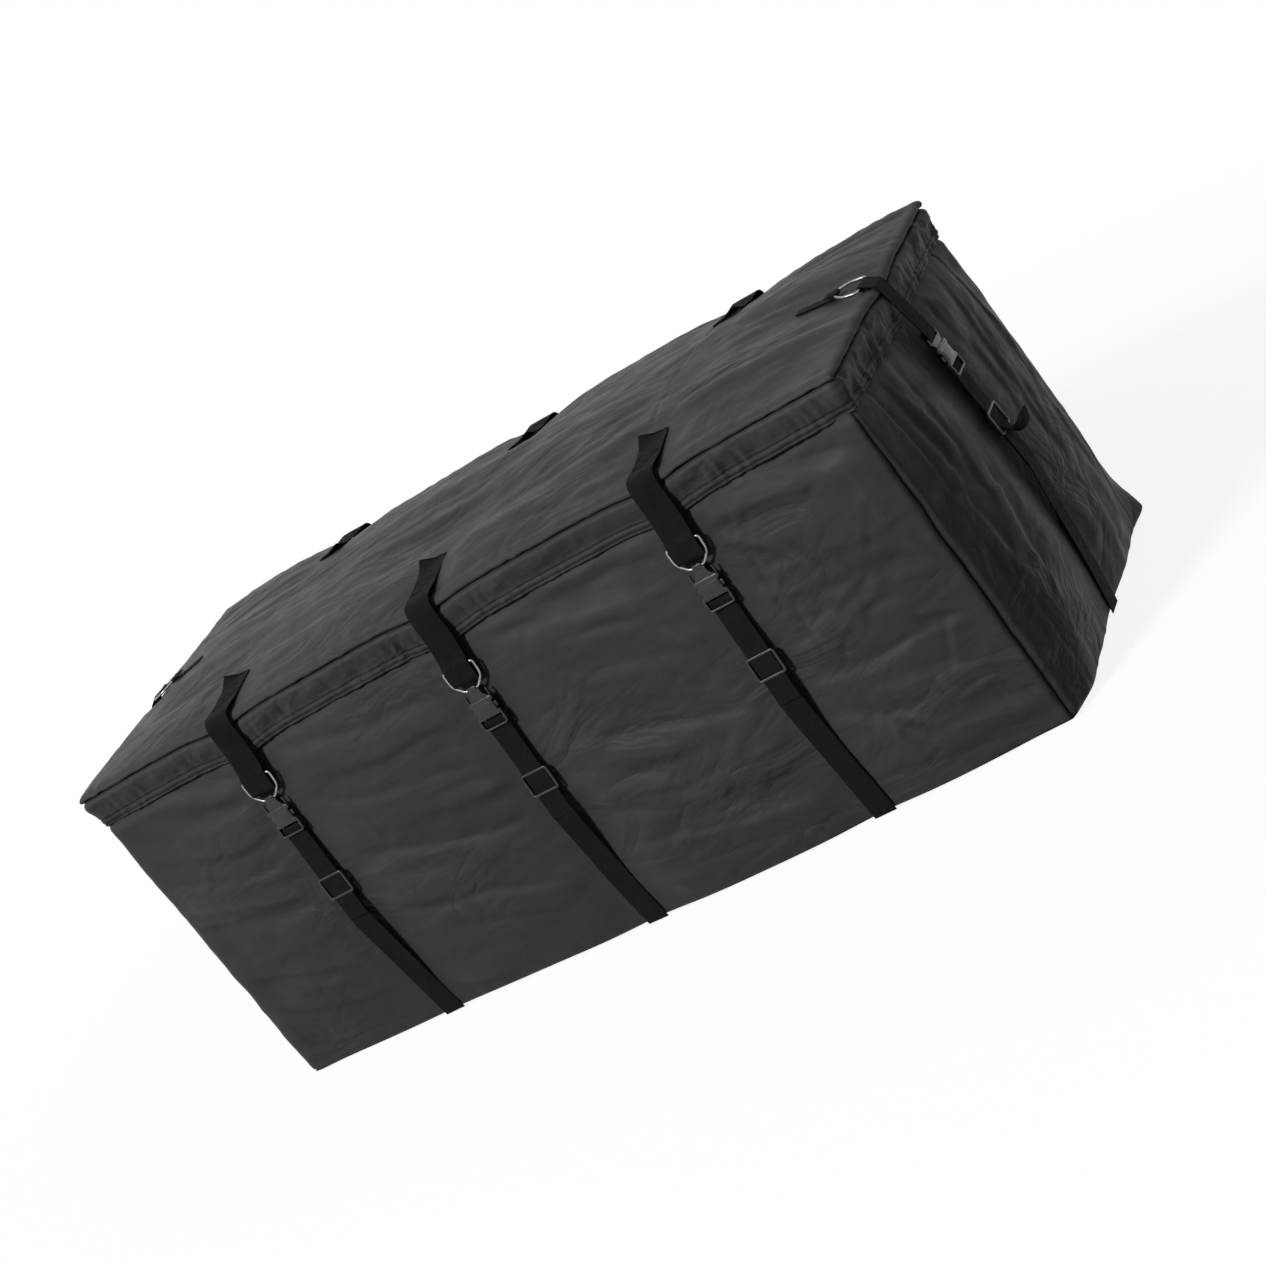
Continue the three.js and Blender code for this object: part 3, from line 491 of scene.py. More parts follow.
def lidPush(a, b):
    x, y = a * halfLength, b * halfWidth
    dent = 1 - 0.5 * form["strapDent"] * nearStraps(x, 1.3 * form["dentReach"])
    swell = form["lidBulge"] * dome(a, 5) * dome(b, 2.2) * dent
    sideDip = form["edgeDip"] * nearStraps(x, form["dipReach"]) * np.abs(b) ** 5
    endDip = form["edgeDip"] * hill(y, form["dipReach"]) * np.abs(a) ** 9
    folds = np.sin(6.4 * b + 2.1 * a) * np.cos(3.6 * a) * dome(a, 6) * dome(b, 6)
    between = (1 - np.minimum(1, nearStraps(x, 0.085))) * dome(a, 8) * (0.7 + 0.3 * np.sin(9 * x + 1))
    between = between * np.where(b > 0, form["backRise"], form["frontRise"]) * np.abs(b) ** 4
    return swell - sideDip - endDip + form["foldHeight"] * folds + between


def topFollow(z):
    """How much of the lid's rise a place at this height shares."""
    return ease((z - 0.6 * height) / (wallTop - 0.033 - 0.6 * height))


def pinch(distance):
    """How far an edge draws in towards its seam: a parabola over the seam's width."""
    return seam["depth"] * zeroOne(1 - distance / seam["width"]) ** 2


# ---- cloth that settles in folds ----

folding = {"cell": 0.0115, "frames": 24, "cap": 0.0095, "hold": 0.15, "bending": 6.0, "pressure": 0.6,
           "unevenness": 0.0009, "start": 0.0022, "gain": 2.5, "smooth": 1.9, "limit": 0.014,
           "strapShare": 0.12, "strapReach": 0.026, "strapEase": 0.055, "stiffness": 18, "shear": 6}


def settle(name, base, cut, hold):
    """Blender's cloth on a coarse grid. Its rest lengths come from the cut, which is larger than the base,
    so the spare cloth buckles into folds; hold pulls it back to the base, fully so along the seams."""
    rows, columns = base.shape[:2]
    run = np.stack(np.meshgrid(np.arange(columns), np.arange(rows)), -1) * folding["cell"]
    piece = surface(name, base, run)
    piece.shape_key_add(name="base")
    key = piece.shape_key_add(name="cut")
    key.data.foreach_set("co", np.ascontiguousarray(cut, np.float32).ravel())
    key.value = 0.0
    group = piece.vertex_groups.new(name="hold")
    levels = np.round(hold.ravel() * 40).astype(int)
    for level in np.unique(levels):
        group.add(np.flatnonzero(levels == level).tolist(), level / 40, "REPLACE")
    cloth = piece.modifiers.new("cloth", "CLOTH")
    rules = cloth.settings
    rules.quality, rules.mass = 5, 0.12
    rules.tension_stiffness = rules.compression_stiffness = folding["stiffness"]
    rules.shear_stiffness, rules.bending_stiffness = folding["shear"], folding["bending"]
    rules.vertex_group_mass, rules.pin_stiffness = "hold", 1.0
    rules.rest_shape_key = key
    rules.use_pressure, rules.uniform_pressure_force = True, folding["pressure"]
    rules.effector_weights.gravity = 0.0
    cloth.collision_settings.use_collision = False
    cloth.collision_settings.use_self_collision = False
    cloth.point_cache.frame_start, cloth.point_cache.frame_end = 1, folding["frames"]
    for number in range(1, folding["frames"] + 1):
        scene.frame_set(number)
    shape = piece.evaluated_get(bpy.context.evaluated_depsgraph_get()).to_mesh()
    settled = np.zeros(rows * columns * 3, np.float32)
    shape.vertices.foreach_get("co", settled)
    scene.frame_set(1)
    bpy.data.objects.remove(piece)
    return settled.reshape(rows, columns, 3).astype(float)


def facing(points):
    return unit(np.cross(np.gradient(points, axis=1), np.gradient(points, axis=0)))


def softened(values, width):
    """Values on a grid, evened out by a bell of this width in cells along both directions."""
    reach = int(3 * width) + 1
    for _ in range(2):
        wide = np.pad(values, ((reach, reach), (0, 0)), mode="edge")
        values = sum(share * wide[k:k + len(values)] for k, share in enumerate(bell(width, reach))).T
    return values


def foldField(name, shape, low, high, cloth, seed, along, up):
    """How far the settled folds stand off a panel, on the fine grid whose places are along and up. The cut is
    the panel scaled by its spare cloth, and made uneven by a slow noise."""
    columns, rows = (round((high[k] - low[k]) / folding["cell"]) + 1 for k in (0, 1))
    s, r = np.meshgrid(np.linspace(low[0], high[0], columns), np.linspace(low[1], high[1], rows))
    base = shape(s, r)
    cut = base * np.array([1 + value for value in cloth["spare"]])
    for k in range(3):
        cut[..., k] += folding["unevenness"] * layeredNoise(s / 0.14, r / 0.14, seed + 4 * k, 2)
    hold = np.full(s.shape, folding["hold"])
    hold[[0, -1]] = 1.0
    hold[:, [0, -1]] = 1.0
    edge = np.minimum(np.minimum(s - low[0], high[0] - s), np.minimum(r - low[1], high[1] - r))
    grain = cloth["grain"]
    start = folding["start"] * layeredNoise(s / grain[0], r / grain[1], seed + 30, 2) * zeroOne(edge / 0.04)
    start = base + facing(base) * start[..., None]
    moved = ((settle(name, start, cut, hold) - base) * facing(base)).sum(-1)
    moved = folding["gain"] * softened(moved, folding["smooth"])
    moved = folding["cap"] * np.tanh(moved / folding["cap"])
    print(name, "folds", round(float(moved.min()) * 1000, 1), round(float(moved.max()) * 1000, 1), "mm")
    return easing(up, rows, low[1], high[1]) @ moved @ easing(along, columns, low[0], high[0]).T


def crests(points):
    """Where the cloth is raised (positive) or hollow (negative) next to its surroundings."""
    around = (points[:-2, 1:-1] + points[2:, 1:-1] + points[1:-1, :-2] + points[1:-1, 2:]) / 4
    value = np.zeros(points.shape[:2])
    value[1:-1, 1:-1] = -((around - points[1:-1, 1:-1]) * facing(points)[1:-1, 1:-1]).sum(-1)
    for _ in range(2):
        value[1:-1, 1:-1] = (value[1:-1, 1:-1] * 2 + value[:-2, 1:-1] + value[2:, 1:-1]
                             + value[1:-1, :-2] + value[1:-1, 2:]) / 6
    return value


def crease(s, r, start, end, depth, sharp=0.006, reach=0.045):
    """A fold along a line: the cloth steps down across it within the sharp width and eases back over its
    reach."""
    ahead = np.array(end) - np.array(start)
    length = float(np.hypot(*ahead))
    u = ((s - start[0]) * ahead[0] + (r - start[1]) * ahead[1]) / length
    d = ((r - start[1]) * ahead[0] - (s - start[0]) * ahead[1]) / length
    d = d + min(0.006, 0.03 * length) * waver(u / 0.09 + start[0] * 50, 3)
    fade = ease(zeroOne(u / (0.25 * length)) * zeroOne((length - u) / (0.25 * length)))
    return depth * 0.5 * np.tanh(d / sharp) * np.exp(-np.abs(d) / reach) * fade


# Each cloth's spare length in x, y and z, the size of its first folds, its long folds (angle, length, width,
# depth), the creases that show (start, end, depth), and its strewn folds (count, low, high, lengths, angle
# and its spread, depth, sharp width, reach). Walls also have their node, whether they are an end, and a side.
cloths = {
    "frontCloth": {
        "wall": ("front_panel", False, -1), "spare": (0.010, 0.0, 0.022), "grain": (0.30, 0.05),
        "long": (-0.17, 0.30, 0.060, 0.0075),
        "creases": [((0.74, 0.222), (0.36, 0.236), 0.0085), ((0.44, 0.225), (0.03, 0.335), 0.0075),
                    ((0.70, 0.367), (0.655, 0.42), 0.003), ((0.54, 0.367), (0.43, 0.43), 0.003),
                    ((0.72, 0.53), (0.58, 0.45), 0.004), ((0.735, 0.47), (0.60, 0.40), 0.003),
                    ((0.67, 0.282), (0.55, 0.306), 0.003), ((0.74, 0.12), (0.47, 0.15), 0.004),
                    ((-0.74, 0.36), (-0.45, 0.29), 0.006), ((-0.74, 0.21), (-0.46, 0.15), 0.006),
                    ((-0.02, 0.13), (-0.40, 0.21), 0.007), ((0.40, 0.08), (0.03, 0.14), 0.006),
                    ((-0.05, 0.36), (-0.38, 0.42), 0.005), ((-0.04, 0.24), (-0.40, 0.32), 0.006)],
        "strewn": [(36, (-0.74, 0.06), (0.62, 0.52), (0.14, 0.34), (-0.17, 0.12), 0.0100, 0.013, 0.030),
                   (54, (0.40, 0.06), (0.72, 0.53), (0.03, 0.12), (0.3, 0.9), 0.0046, 0.004, 0.014),
                   (26, (-0.72, 0.03), (0.40, 0.50), (0.03, 0.11), (-0.2, 0.5), 0.0030, 0.004, 0.012)]},
    "backCloth": {
        "wall": ("back_panel", False, 1), "spare": (0.010, 0.0, 0.020), "grain": (0.28, 0.05),
        "long": (0.13, 0.30, 0.060, 0.0075),
        "creases": [((0.70, 0.30), (0.46, 0.26), 0.006), ((0.38, 0.34), (0.04, 0.28), 0.006),
                    ((-0.04, 0.22), (-0.38, 0.27), 0.006), ((-0.46, 0.36), (-0.73, 0.31), 0.005)],
        "strewn": [(34, (-0.74, 0.06), (0.62, 0.52), (0.14, 0.34), (0.12, 0.14), 0.0100, 0.013, 0.030),
                   (50, (-0.72, 0.04), (0.70, 0.53), (0.03, 0.12), (0.1, 0.7), 0.0036, 0.004, 0.014)]},
    "leftEndCloth": {
        "wall": ("left_end_panel", True, -1), "spare": (0.0, 0.022, 0.010), "grain": (0.05, 0.26),
        "long": (1.65, 0.26, 0.075, 0.0060),
        "creases": [((0.12, 0.52), (0.18, 0.20), 0.005), ((-0.17, 0.54), (-0.12, 0.15), 0.005)],
        "strewn": [(16, (-0.27, 0.05), (0.27, 0.36), (0.12, 0.26), (1.65, 0.22), 0.0085, 0.009, 0.024),
                   (22, (-0.28, 0.04), (0.28, 0.52), (0.03, 0.10), (1.9, 0.6), 0.0030, 0.004, 0.012)]},
    "rightEndCloth": {
        "wall": ("right_end_panel", True, 1), "spare": (0.0, 0.024, 0.010), "grain": (0.05, 0.26),
        "long": (1.45, 0.26, 0.075, 0.0060),
        "creases": [((-0.026, 0.268), (-0.30, 0.37), 0.006), ((-0.04, 0.20), (-0.26, 0.21), 0.004),
                    ((0.185, 0.57), (0.12, 0.20), 0.006), ((0.24, 0.50), (0.20, 0.06), 0.005),
                    ((-0.12, 0.55), (-0.19, 0.25), 0.005), ((0.02, 0.11), (0.20, 0.02), 0.005)],
        "strewn": [(16, (-0.27, 0.05), (0.27, 0.36), (0.12, 0.26), (1.45, 0.22), 0.0085, 0.009, 0.024),
                   (22, (-0.28, 0.04), (0.28, 0.52), (0.03, 0.10), (1.1, 0.6), 0.0030, 0.004, 0.012)]},
    "lidCloth": {
        "spare": (0.009, 0.022, 0.0), "grain": (0.34, 0.05), "long": (0.06, 0.36, 0.060, 0.0050),
        "creases": [((0.72, -0.12), (0.10, -0.05), 0.006), ((-0.10, 0.10), (-0.66, 0.02), 0.006),
                    ((0.66, 0.13), (0.05, 0.17), 0.005), ((0.36, -0.20), (-0.30, -0.12), 0.005),
                    ((-0.20, -0.18), (-0.70, -0.16), 0.005), ((0.73, 0.03), (0.48, 0.06), 0.006)],
        "strewn": [(34, (-0.72, -0.26), (0.60, 0.24), (0.16, 0.42), (0.06, 0.16), 0.0070, 0.012, 0.028),
                   (40, (-0.72, -0.28), (0.70, 0.28), (0.03, 0.12), (0.2, 0.7), 0.0022, 0.004, 0.012)]}}


def broadFolds(s, r, cloth, seed):
    """Long slack folds: half of the noise is plain, half is puffed up between narrow hollows where it passes
    zero."""
    angle, far, near, depth = cloth["long"]
    r = r + 0.012 * softNoise(s / 0.11, r / 0.11, seed + 2)
    u = (s * math.cos(angle) + r * math.sin(angle)) / far
    v = (r * math.cos(angle) - s * math.sin(angle)) / near
    value = layeredNoise(u + 20, v + 20, seed, 2)
    return depth * (0.5 * value + 0.75 * (np.sqrt(value ** 2 + 0.003) - 0.4))


def strewnFolds(s, r, cloth, seed):
    chance = np.random.default_rng(seed)
    total = np.zeros_like(s)
    for count, low, high, sizes, angles, depth, sharp, reach in cloth["strewn"]:
        for _ in range(count):
            start, size = chance.uniform(low, high), chance.uniform(*sizes)
            angle = angles[0] + angles[1] * chance.normal()
            end = start + size * np.array([math.cos(angle), math.sin(angle)])
            deep = depth * chance.uniform(0.4, 1) * chance.choice((-1, 1))
            total += crease(s, r, start, end, deep, sharp, reach)
    return total


def allFolds(cloth, s, z, field, fromStrap, calm, seed):
    """All folds of a wall or the lid: settled, placed and random ones, with calm strips at the straps."""
    fine = 0.0007 * layeredNoise(s / 0.05, z / 0.022 + softNoise(s / 0.1, z / 0.1, seed), seed, 3)
    total = field + fine + broadFolds(s, z, cloth, seed + 60) + strewnFolds(s, z, cloth, seed + 3)
    total = total + sum(crease(s, z, *line) for line in cloth["creases"])
    total = folding["limit"] * np.tanh(total / folding["limit"])
    near = ease((fromStrap - folding["strapReach"]) / folding["strapEase"])
    return total * (folding["strapShare"] + (1 - folding["strapShare"]) * near) * calm


# ---- walls ----

corner = {"stand": 0.0058, "foot": 0.015, "footReach": 0.06, "play": 0.0013, "reach": 0.045}


def wallShape(isEnd, side, s, z, out=0.0):
    """A wall's points: s runs along it, z up it, and out moves them off it."""
    inset = form["inset"]
    t = s / ((halfWidth if isEnd else halfLength) - inset)
    flat = side * np.ones_like(t)
    if isEnd:
        x, y = side * (halfLength - inset + endPush(t, z) + out), s
        top = lidPush(flat, t)
    else:
        x, y = s, side * (halfWidth - inset + sidePush(t, z) + out)
        top = lidPush(t, flat)
    return np.stack([x + 0 * s, y + 0 * s, z + topFollow(z) * top], -1)


def standOut(x, y, z):
    """How far a corner seam stands out: a little all the way up, and more at the right back corner's foot."""
    return corner["stand"] + np.where((x > 0) & (y > 0), corner["foot"] * hill(z, corner["footReach"]), 0.0)


def cornerWander(x, y, z):
    """How far the upright corner seams leave their straight line, the same for both walls that meet there."""
    seed = 301 + 2 * (x > 0) + (y > 0)
    share = zeroOne((wallTop - z) / 0.03)
    stand = standOut(x, y, z)
    play = corner["play"] * zeroOne(z / 0.05)
    waves = [waver(z / 0.055 + 7, seed + k) + 0.45 * waver(z / 0.02, seed + 40 + k) for k in (0, 9)]
    return [(play * wave + stand * np.sign(way)) * share for wave, way in zip(waves, (x, y))]


def makeWall(name, number):
    cloth = cloths[name]
    node, isEnd, side = cloth["wall"]
    half = (halfWidth if isEnd else halfLength) - form["inset"]
    isBack = name == "backCloth"
    top = form["flapTop"] + 0.0028 if isBack else wallTop
    along, up = spaced(-half, half, 0.005, seam["width"]), spaced(0.0, top, 0.005, seam["width"])
    seed = 11 + 10 * number
    field = foldField(name + "Settling", lambda s, z: wallShape(isEnd, side, s, z), (-half, 0.0), (half, top),
                      cloth, seed, along, up)
    s, z = np.meshgrid(along, up)
    fromStrap = np.min([np.abs(s - at) for at in ((0.0,) if isEnd else stations)], axis=0)
    room = half - np.abs(s)
    edge = np.minimum(np.minimum(room, z), top - z if isBack else 1.0)
    out = allFolds(cloth, s, z, field, fromStrap, zeroOne(edge / 0.05), seed)
    if not isBack:
        flat = form["calmFrom"]
        out = np.minimum(out, 0.0008 + 0.012 * zeroOne((flat - z) / 0.05)) - 0.0035 * zeroOne((z - flat) / 0.01)
    # Painted shade: the colour darkens in the seam's gap at the wall's edges and, on the ends, along the corner
    # strip's stitch line.
    dark = seam["dark"] * hill(room, 0.0026)
    if isEnd:
        strip = 0.062 + 0.003 * waver(z / 0.12, seed + 8)
        out = out - 0.0017 * hill(room - strip, 0.0024) + 0.0009 * hill(room - strip + 0.006, 0.004)
        dark = dark + seam["stitchDark"] * hill(room - strip, 0.0012)
    out = out + 0.0011 * waver(z / 0.016, seed + 11) * np.exp(-room / 0.018) * zeroOne(room / 0.004)
    out = out + 0.0011 * waver(s / 0.016, seed + 12) * np.exp(-z / 0.018) * zeroOne(z / 0.004)
    points = wallShape(isEnd, side, s, z, out)
    drawnTop = pinch(top - z) if isBack else 0
    across = 0 if isEnd else 1
    points[..., across] -= side * (pinch(room) + pinch(z) + drawnTop)
    points[..., 1 - across] -= np.sign(s) * pinch(room)
    points[..., 2] += pinch(z) - drawnTop
    for end in (-1, 1):
        where = (side, end) if isEnd else (end, side)
        for k, shift in enumerate(cornerWander(*where, z)):
            points[..., k] += shift * hill(half - end * s, corner["reach"])
    piece = surface(name, points, np.stack([s, z], -1), flip=(side > 0) != isEnd)
    # Colour lighter on crests, darker in hollows, seams and stitch lines: painted light and painted shade.
    setCrease(piece, 0.5 + side * (1 if isEnd else -1) * crests(points) / 0.0007 - dark)
    dress(piece, clothPaint, stands=(node,), thickness=form["cloth"])


for wallNumber, wallName in enumerate(("frontCloth", "backCloth", "leftEndCloth", "rightEndCloth")):
    makeWall(wallName, wallNumber)
print("walls made")

# ---- lid with its rolled edge, and base ----

roll = {"width": 0.017, "out": (-0.0170, -0.0086, -0.0022, 0.0012, 0.0006, -0.0062),
        "down": (0.0, 0.0004, 0.0030, 0.0072, 0.0108, 0.0128), "play": 0.003, "groove": 0.405}


def rolled(distance):
    """The lid's edge turns down over the seam. Gives how far out, and how far down, a place moves: a cubic
    line through the roll's places, from its width away from the edge to the seam itself."""
    q = zeroOne(1 - distance / roll["width"])
    share = easing(q.ravel(), 6, 0.0, 1.0)
    outward, down = ((share @ np.array(roll[key])).reshape(q.shape) for key in ("out", "down"))
    inside = distance >= roll["width"]
    return np.where(inside, 0.0, outward + roll["width"] * (1 - q)), np.where(inside, 0.0, down)


def seamPlay(where, seed):
    """How unevenly the lid's seam is drawn in: from 0 to about 1, so that it looks jagged."""
    return 0.5 + 0.35 * waver(where / 0.019, seed) + 0.2 * waver(where / 0.008, seed + 1)


def makeLid():
    def shape(x, y):
        return np.stack([x, y, height + lidPush(x / halfLength, y / halfWidth)], -1)

    cloth, seed = cloths["lidCloth"], 71
    along = spaced(-halfLength, halfLength, 0.005, roll["width"])
    across = spaced(-halfWidth, halfWidth, 0.005, roll["width"])
    field = foldField("lidSettling", shape, (-halfLength, -halfWidth), (halfLength, halfWidth), cloth, seed,
                      along, across)
    x, y = np.meshgrid(along, across)
    a, b = x / halfLength, y / halfWidth
    sideGap, endGap = halfWidth - np.abs(y), halfLength - np.abs(x)
    calm = zeroOne(np.minimum(sideGap, endGap) / 0.05)
    fromStrap = np.min([np.hypot(x - at, np.maximum(sideGap - 0.12, 0)) for at in stations], axis=0)
    fromStrap = np.minimum(fromStrap, np.hypot(y, np.maximum(endGap - 0.14, 0)))
    z = height + lidPush(a, b) + allFolds(cloth, x, y, field, fromStrap, calm, seed)
    z = z - 0.0016 * hill(x - roll["groove"] - 0.004 * waver(y / 0.1, 85), 0.0022) * calm
    ripple = softNoise(x / 0.014, y / 0.014, 81) * 0.0014
    z = z + ripple * (np.exp(-sideGap / 0.024) + np.exp(-endGap / 0.024)) * zeroOne(fromStrap / 0.03 - 0.8)
    outY, downY = rolled(sideGap)
    outX, downX = rolled(endGap)
    playY, playX = seamPlay(x, 91), seamPlay(y, 95)
    edgeY, edgeX = zeroOne(1 - sideGap / 0.009) ** 2, zeroOne(1 - endGap / 0.009) ** 2
    rear = 1 + 1.6 * zeroOne(a) ** 8 * zeroOne((y + 0.05) / 0.2)
    x = x + np.sign(x) * (outX - roll["play"] * rear * edgeX * playX)
    y = y + np.sign(y) * (outY - roll["play"] * edgeY * playY)
    z = z - np.maximum(downX, downY) + 0.0016 * np.maximum(edgeX * playX, edgeY * playY)
    points = np.stack([x, y, z], -1)
    share = 0.0028 * np.abs(a) ** 40 * np.abs(b) ** 16
    points[..., 0] -= np.sign(a) * share
    points[..., 1] -= np.sign(b) * share
    piece = surface("lidCloth", points, np.stack([x, y], -1))
    # Colour lighter on crests, darker in hollows and at the rolled edge's seam: painted light and painted
    # shade.
    setCrease(piece, 0.5 + crests(points) / 0.0007 - seam["dark"] * hill(np.maximum(edgeX, edgeY) - 1, 0.35))
    dress(piece, clothPaint, stands=("lid_panel",), thickness=form["cloth"])


def makeBase():
    half = halfLength - form["inset"]
    x, y = np.meshgrid(np.linspace(-half, half, 121), np.linspace(-1, 1, 51))
    a = x / half
    px = a * (half + endPush(y, np.zeros_like(y)))
    py = y * (halfWidth - form["inset"] + sidePush(a, np.zeros_like(a)))
    lift = 0.0042 * zeroOne(1 - np.minimum(1 - np.abs(a), 1 - np.abs(y)) / 0.02) ** 2
    near = hill(half - np.abs(x), corner["reach"]) * hill((1 - np.abs(y)) * halfWidth, corner["reach"])
    near = standOut(x, y, 0.0) * near
    shape = np.stack([px - np.sign(px) * (0.004 * np.abs(a) ** 60 - near),
                      py - np.sign(py) * (0.004 * np.abs(y) ** 60 - near), lift + 0.0002], -1)
    piece = surface("baseCloth", shape, np.stack([px, py], -1), flip=True)
    setCrease(piece, np.full(shape.shape[:2], 0.5))
    dress(piece, clothPaint, stands=("base_panel",))


makeLid()
makeBase()
print("lid and base made")

# ---- storm flap round three sides, and the upper zip behind it ----

flap = {"corner": 0.014, "hemInset": 0.0055, "pucker": 0.0075, "step": 0.0030, "back": 0.0115,
        "stitchRows": (0.0055, 0.0145), "seamDrop": 0.0100,
        "headOut": (-0.0062, -0.0010, 0.0022, 0.0030, 0.0030)}
flapTurn = flap["corner"] * math.pi / 2
flapSide = 2 * halfWidth - flap["back"] - flap["corner"]
flapFront = 2 * halfLength - 2 * flap["corner"]
flapLength = 2 * flapSide + flapFront + 2 * flapTurn
flapDrop = height - flap["seamDrop"] - form["hem"]


def flapPath(s):
    """The line round the left end, the front and the right end: straight runs joined by rounds. Gives the
    place at each distance run, and the outward direction there."""
    turn = flap["corner"]
    cuts = np.cumsum([flapSide, flapTurn, flapFront, flapTurn])
    angle = math.pi / 2 * (zeroOne((s - cuts[0]) / flapTurn) + zeroOne((s - cuts[2]) / flapTurn))
    nx, ny = -np.cos(angle), -np.sin(angle)
    x = -halfLength + turn + np.clip(s - cuts[1], 0, flapFront) + turn * nx
    y = halfWidth - flap["back"] - np.minimum(s, flapSide) + np.maximum(s - cuts[3], 0)
    y = np.where((s > cuts[0]) & (s < cuts[3]), -halfWidth + turn + turn * ny, y)
    return x, y, nx, ny


def flapShape(s, v, seed=131):
    """v is the drop below the lid's seam. The flap bulges out of the seam, falls in short upright puckers
    where it is gathered, and leans in to its hem, which is drawn in along its two rows of stitches."""
    x, y, nx, ny = flapPath(s)
    z = height - flap["seamDrop"] - v
    head = (easing(zeroOne(v / 0.016).ravel(), 5, 0.0, 1.0) @ np.array(flap["headOut"])).reshape(v.shape)
    lean = zeroOne(v / flapDrop)
    inset = (flap["hemInset"] + 0.0028) * zeroOne((v - 0.018) / (flapDrop - 0.018))
    bent = s + 0.006 * softNoise(s / 0.05, v / 0.03, seed + 3)
    gather = 0.6 * softNoise(bent / 0.021, v / 0.045, seed)
    gather = gather + 0.5 * softNoise(bent / 0.0095, v / 0.03, seed + 1)
    creased = ridges(bent / 0.03, v / 0.03, seed + 2)
    slanted = softNoise(s / 0.034 + 1.4 * v / 0.034, v / 0.028 - s / 0.11, seed + 6)
    patch = flap["pucker"] * (0.6 + 0.4 * waver(s / 0.16, seed + 7))
    pucker = patch * ((0.25 + 0.4 * lean) * gather + 0.5 * slanted + 0.6 * creased * lean * (1.2 - lean))
    a, b = np.clip(x / halfLength, -1, 1), np.clip(y / halfWidth, -1, 1)
    push = np.abs(ny) * sidePush(a, z) + np.abs(nx) * endPush(b, z)
    strap = np.maximum(nearStraps(x, 0.036) * np.abs(ny) ** 8, hill(y, 0.03) * np.abs(nx) ** 8)
    rear = 1 + 1.3 * zeroOne(nx) * zeroOne((y + 0.05) / 0.2)
    play = roll["play"] * rear * zeroOne(1 - v / 0.009) ** 2 * seamPlay(s, seed + 20)
    out = push + head - inset + pucker * (1 - 0.85 * zeroOne(strap)) - play
    out = out - 0.0016 * zeroOne(1 - (flapDrop - v) / 0.003) ** 2
    for row in flap["stitchRows"]:
        out = out - 0.0010 * hill(flapDrop - v - row, 0.0017)
    out = out + 0.0007 * hill(flapDrop - v - 0.0100, 0.003)
    return (np.stack([x + nx * out, y + ny * out, z + topFollow(z) * lidPush(a, b)], -1),
            np.stack([nx, ny, 0 * nx], -1))


def makeFlap():
    s = np.linspace(0, flapLength, round(flapLength / flap["step"]))
    v = np.concatenate([np.linspace(0, 0.016, 9)[:-1], np.linspace(0.016, flapDrop - 0.019, 9)[:-1],
                        np.linspace(flapDrop - 0.019, flapDrop, 15)])
    s, v = np.meshgrid(s, v)
    points, _ = flapShape(s, v)
    piece = surface("stormFlap", points, np.stack([s, -v], -1), flip=True)
    # Colour darker along both stitch rows and at the seam under the lid, lighter on crests and darker in
    # hollows: painted shade and painted light.
    rows = sum(0.7 * hill(flapDrop - v - row, 0.0012) for row in flap["stitchRows"])
    setCrease(piece, 0.5 - crests(points) / 0.0004 - seam["dark"] * hill(v, 0.003) - rows)
    dress(piece, clothPaint, stands=("storm_flap",), thickness=form["cloth"])


stitch = {"pitch": 0.0052, "length": 0.0036, "radius": 0.00042, "proud": 0.00015}


def stitches(name, paths):
    """Rows of thread: on each path (points, outward directions) short pointed rods, one to a pitch."""
    heads, tails, outs = [], [], []
    for line, out in paths:
        run = runs(line)
        at = np.arange(stitch["pitch"] / 2, run[-1], stitch["pitch"])
        heads.append(onLine(at - stitch["length"] / 2, run, line))
        tails.append(onLine(at + stitch["length"] / 2, run, line))
        outs.append(onLine(at, run, out))
    head, tail, out = (np.concatenate(part) for part in (heads, tails, outs))
    ahead = unit(tail - head)
    out = unit(out - ahead * (out * ahead).sum(1, keepdims=True))
    beside = np.cross(ahead, out)
    turn = (np.arange(5) * 2 * math.pi / 5)[None, :, None]
    rings = [head[:, None]]
    for share, size in ((0.16, 0.75), (0.5, 1.0), (0.84, 0.75)):
        middle = head + (tail - head) * share + out * stitch["proud"]
        around = beside[:, None] * np.cos(turn) + out[:, None] * np.sin(turn)
        rings.append(middle[:, None] + around * stitch["radius"] * size)
    points = np.concatenate(rings + [tail[:, None]], 1)
    faces = []
    for k in range(5):
        n = (k + 1) % 5
        faces += [(0, 1 + n, 1 + k), (16, 11 + k, 11 + n)]
        for ring in (1, 6):
            faces += [(ring + k, ring + n, ring + 5 + n), (ring + k, ring + 5 + n, ring + 5 + k)]
    every = ((np.arange(len(points)) * 17)[:, None, None] + np.array(faces)[None]).reshape(-1, 3)
    run = np.tile(np.stack([np.arange(17) * 0.0003, np.arange(17) * 0.0002], 1), (len(points), 1))
    dress(meshFrom(name, points.reshape(-1, 3), every, run[every.ravel()]), threadPaint)


def makeHemStitches():
    s = np.linspace(0.004, flapLength - 0.004, 4000)
    stitches("hemStitches", [flapShape(s, np.full_like(s, flapDrop - row)) for row in flap["stitchRows"]])


def capped(rings):
    """Closes both ends of a row of rings at their middles."""
    poles = [np.repeat(ring.mean(0, keepdims=True), len(ring), 0)[None] for ring in (rings[0], rings[-1])]
    return np.concatenate([poles[0], rings, poles[1]])


zipParts = {"line": 0.591, "top": 0.6066, "inset": 0.0105, "tape": 0.0012, "tapeStep": 0.004,
            "chainHigh": 0.0028, "chainThick": 0.003, "slit": 0.0009, "pitch": 0.0024, "step": 0.0008}


